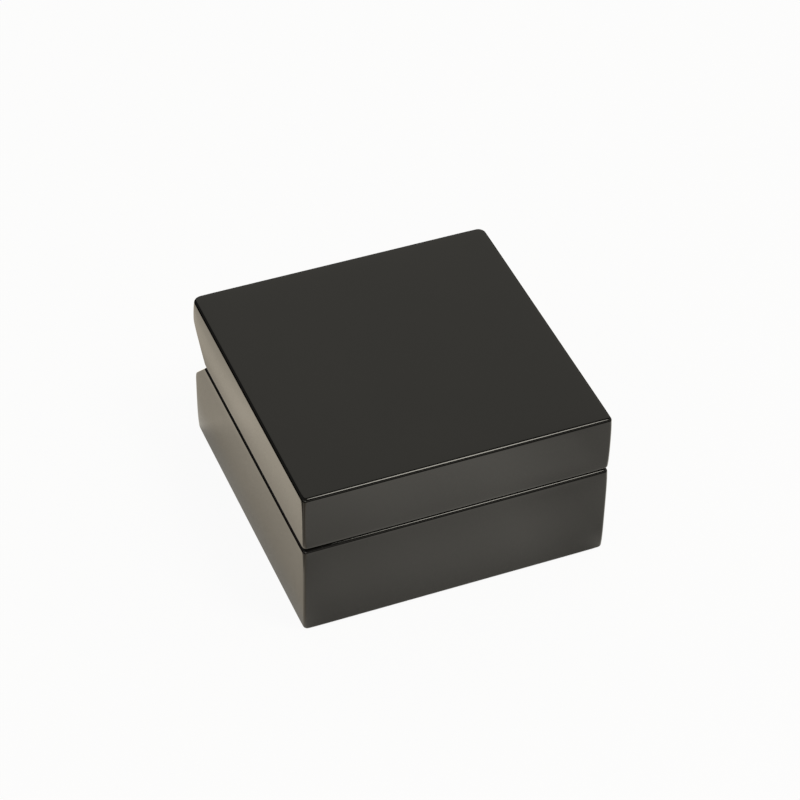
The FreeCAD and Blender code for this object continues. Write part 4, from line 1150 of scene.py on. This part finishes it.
class CLOCKBOX_OT_movement(bpy.types.Operator):
    """Back of the movement: knurled knobs and cross-recessed screws"""

    bl_idname = "clock_box.movement"
    bl_label = "Movement"

    def execute(self, context):
        centre = dial_centre()
        screws_low, screws_high = extent("case_screws")
        back = screws_high[2]
        knobs = (("time_set_knob", "time_knob", -8.0), ("alarm_set_knob", "alarm_knob", 6.0))
        for name, body, x in knobs:
            low, high = extent(name)
            shaft = [(0.3, low[2]), (0.55, low[2] + 0.05), (0.6, low[2] + 0.2)]
            shaft += [(0.6, back + 0.25), (0.3, back + 0.3)]
            skin = Skin().grid(knob_grid(back + 0.2, high[2], (x, centre[1])))
            skin.grid(turned(shaft, (x, centre[1]), 48))
            skin.piece(f"{name}_knurled", body, "black_plastic", ["black_moulding"], [name])
        skin = Skin()
        circle, long = 22.5, back - screws_low[2]
        for number, angle in enumerate((90.0, 210.0, 330.0)):
            turn = math.radians(angle)
            place = (centre[0] + circle * math.cos(turn), centre[1] + circle * math.sin(turn))
            skin.grid(screw_grid(place, back, -1, 0.7 * number, long=long, **CASE_SCREW))
        skin.piece("case_screws_cross", "clock", "steel", ["bright_steel"], ["case_screws"])
        return {"FINISHED"}


class CLOCKBOX_OT_finishes(bpy.types.Operator):
    """Finishes of every piece that keeps its own solid"""

    bl_idname = "clock_box.finishes"
    bl_label = "Finishes"

    def execute(self, context):
        slots = {row["node"]: row["material_slot"] for row in frame["record"]["subparts"]}
        for name, node in NODES.items():
            if node.hide_render:
                continue
            finish = "cell_steel" if name == "battery" else SLOT_FINISHES[slots[name]]
            for slot in node.material_slots:
                slot.material = shared(finish)
        return {"FINISHED"}


# Stage


def floor_paper(f, colour, gloss, gloss_left):
    """Pale floor. Seen straight on or through glass it is lifted to white, and it
    keeps part of the shadow that falls on it. What the lacquer mirrors of it is a
    painted reflection: a glow whose brightness is set by place, in metres from the
    box's middle, to give each lacquered face its tone. It is darkened by painted shade
    near the box and is warmer beside the box's left face.
    """
    seen, camera = f.rays()
    mirrored = camera.beside("Is Glossy Ray")
    right = f.node("ShaderNodeSeparateXYZ", None, {0: f.place()})
    back = right.beside("Y")
    left, front = 0.0 - right, 0.0 - back
    # Painted reflection: to the left it stops at 0.08, or halves before the box. Both ways it is
    # gone at 0.2
    across = 1.0 - left.step(0.073, 0.08) * (1.0 - front.step(0.02, 0.05) * 0.5)
    across = across * (1.0 - left.step(0.1, 0.2)) * (1.0 - right.step(0.1, 0.2))
    # Painted reflection before the box: brightest near it, then duller in two steps; none far
    # behind it
    along = 1.0 + front.step(0.045, 0.05) * 0.3 - front.step(0.05, 0.085) * 0.57
    along = along - front.step(0.16, 0.3) * 0.7 - back.step(0.08, 0.22)
    # Painted reflection beside the left face: duller towards the back, for the lid (beyond 0.063)
    # more so
    lid_left = left.step(0.063, 0.069) * 0.22
    ends = 1.0 - back.step(0.015, 0.09) * (left.step(0.045, 0.055) * 0.3 + lid_left)
    base_left = (1.0 - left.step(0.06, 0.068)) * left.step(0.045, 0.055)
    ends = ends - base_left * (back.step(0.02, 0.06) * 0.19 + 0.1)
    # Painted reflection before the front face: duller towards both ends, each for the base and for
    # the lid
    base_ends = left.step(0.0, 0.045) * 0.22 + left.step(0.03, 0.045) * 0.13
    base_ends = base_ends + right.step(0.025, 0.055) * (0.56 - front.step(0.055, 0.08) * 0.2)
    lid_ends = left.step(0.0, 0.035) * 0.2 + right.step(0.03, 0.065) * 0.28
    lid_ends = lid_ends + right.step(0.06, 0.07) * 0.1
    lid = front.step(0.078, 0.09)
    ends = ends - front.step(0.04, 0.06) * (base_ends * (1.0 - lid) + lid_ends * lid)

    grain = f.noise(60.0, 4.0)
    tone = f.blend(grain * 0.3, colour, shade(colour, 0.985))
    lit = f.principled(tone, 0.9, f.bump(grain, 0.0001, 0.2))
    # Painted reflection tint: the colour gloss sees, warmer beside the left face
    painted_reflection_tint = f.blend(left.step(0.048, 0.056), gloss, gloss_left)
    # Squared ambient occlusion paints shade into the reflected glow near the box
    painted_shade_ao = f.node("ShaderNodeAmbientOcclusion", {"samples": 10}, {"Distance": 0.09}, out=1)
    power = seen + mirrored * painted_shade_ao * painted_shade_ao * (across * along * ends) * 2.1
    glow = {0: f.blend(mirrored, (1.0, 1.0, 1.0), painted_reflection_tint), 1: power}
    glow = f.node("ShaderNodeEmission", None, glow)
    f.out(f.node("ShaderNodeMixShader", None, {0: seen * 0.94 + mirrored, 1: lit, 2: glow}))


class CLOCKBOX_OT_stage(bpy.types.Operator):
    """Stage: a pale floor, soft lamps, a white surround and the camera"""

    bl_idname = "clock_box.stage"
    bl_label = "Stage"

    def execute(self, context):
        s = context.scene.clock_box_stage
        scene = context.scene
        scene.view_settings.view_transform = "Standard"
        # The floor: rings from its middle out to 4 m, and the same rings 20 mm further down
        radius = np.array([5.0, 40.0, 150.0, 400.0, 1200.0, 4000.0])[:, None]
        angle = np.linspace(0, 2 * np.pi, 96, endpoint=False)
        disc = np.stack([radius * np.cos(angle), radius * np.sin(angle), np.zeros((6, 96))], -1)
        skin = Skin().grid(np.concatenate([disc, disc[::-1] - [0, 0, 20.0]]))
        add_object("floor", skin.mesh("floor", ["floor"], 30.0))

        camera = add_object("camera", bpy.data.cameras.new("camera"))
        camera.data.sensor_width = 36.0
        camera.data.lens = s.lens
        camera.data.clip_start, camera.data.clip_end = 0.01, 50.0
        camera.location = s.camera_place
        camera.rotation_euler = s.camera_turn
        scene.camera = camera

        aim = Vector((0.0, 0.0, 0.03))
        # name, direction from the box, distance, width, height, radiance
        lamps = (
            ("bank_behind", (0.25, 0.76, 0.60), 1.5, 2.1, 1.0, 0.50),
            ("strip_above", (0.288, -0.36, 0.887), 1.3, 0.30, 0.52, 10.0),
            ("fill_front", (-0.55, -0.72, 0.42), 1.4, 0.8, 0.7, 1.6),
            ("card_front", (0.25, -0.90, 0.36), 1.5, 2.4, 0.5, 0.35),
            ("card_right", (0.93, -0.10, 0.35), 1.5, 1.4, 1.0, 0.4),
            ("card_left", (-0.93, -0.10, 0.35), 1.5, 1.2, 1.0, 0.3),
        )
        for name, away, distance, width, height, radiance in lamps:
            lamp = bpy.data.lights.new(name, "AREA")
            lamp.shape = "RECTANGLE"
            lamp.size, lamp.size_y = width, height
            # An area lamp's radiance is its power over pi and its area
            lamp.energy = radiance * math.pi * width * height
            lamp.color = s.lamp
            holder = add_object(name, lamp)
            direction = Vector(away).normalized()
            holder.location = aim + direction * distance
            holder.rotation_euler = direction.to_track_quat("Z", "Y").to_euler()

        # White to the eye and through glass, dimmer to gloss and an even fill for the rest
        scene.world = bpy.data.worlds.new("surround")
        f = Finish(scene.world)
        seen, camera_ray = f.rays()
        strength = seen * 0.7 + 0.3 - camera_ray.beside("Is Glossy Ray") * 0.2
        back = f.node("ShaderNodeBackground", None, {0: (1.0, 1.0, 1.0), 1: strength})
        f.node("ShaderNodeOutputWorld", None, {0: back})
        return {"FINISHED"}


OPERATORS = (
    CLOCKBOX_OT_stage,
    CLOCKBOX_OT_base,
    CLOCKBOX_OT_lid,
    CLOCKBOX_OT_lining,
    CLOCKBOX_OT_hinges,
    CLOCKBOX_OT_panel,
    CLOCKBOX_OT_bezel,
    CLOCKBOX_OT_dial,
    CLOCKBOX_OT_hands,
    CLOCKBOX_OT_movement,
    CLOCKBOX_OT_finishes,
)


class CLOCKBOX_PT_panel(bpy.types.Panel):
    """Lists the pieces of the box in the sidebar"""

    bl_label = "Clock Box"
    bl_idname = "CLOCKBOX_PT_panel"
    bl_space_type = "VIEW_3D"
    bl_region_type = "UI"
    bl_category = "Clock Box"

    def draw(self, context):
        for operator in OPERATORS:
            self.layout.operator(operator.bl_idname)


GROUPS = {
    "clock_box": BoxSettings,
    "clock_box_clock": ClockSettings,
    "clock_box_stage": StageSettings,
}
CLASSES = (*GROUPS.values(), *OPERATORS, CLOCKBOX_PT_panel)


def register():
    for item in CLASSES:
        bpy.utils.register_class(item)
    for name, group in GROUPS.items():
        setattr(bpy.types.Scene, name, bpy.props.PointerProperty(type=group))


def unregister():
    for name in GROUPS:
        delattr(bpy.types.Scene, name)
    for item in reversed(CLASSES):
        bpy.utils.unregister_class(item)


def main():
    """Build every piece in order."""
    register()
    for operator in OPERATORS:
        group, name = operator.bl_idname.split(".")
        getattr(getattr(bpy.ops, group), name)()


if __name__ == "__main__":
    main()
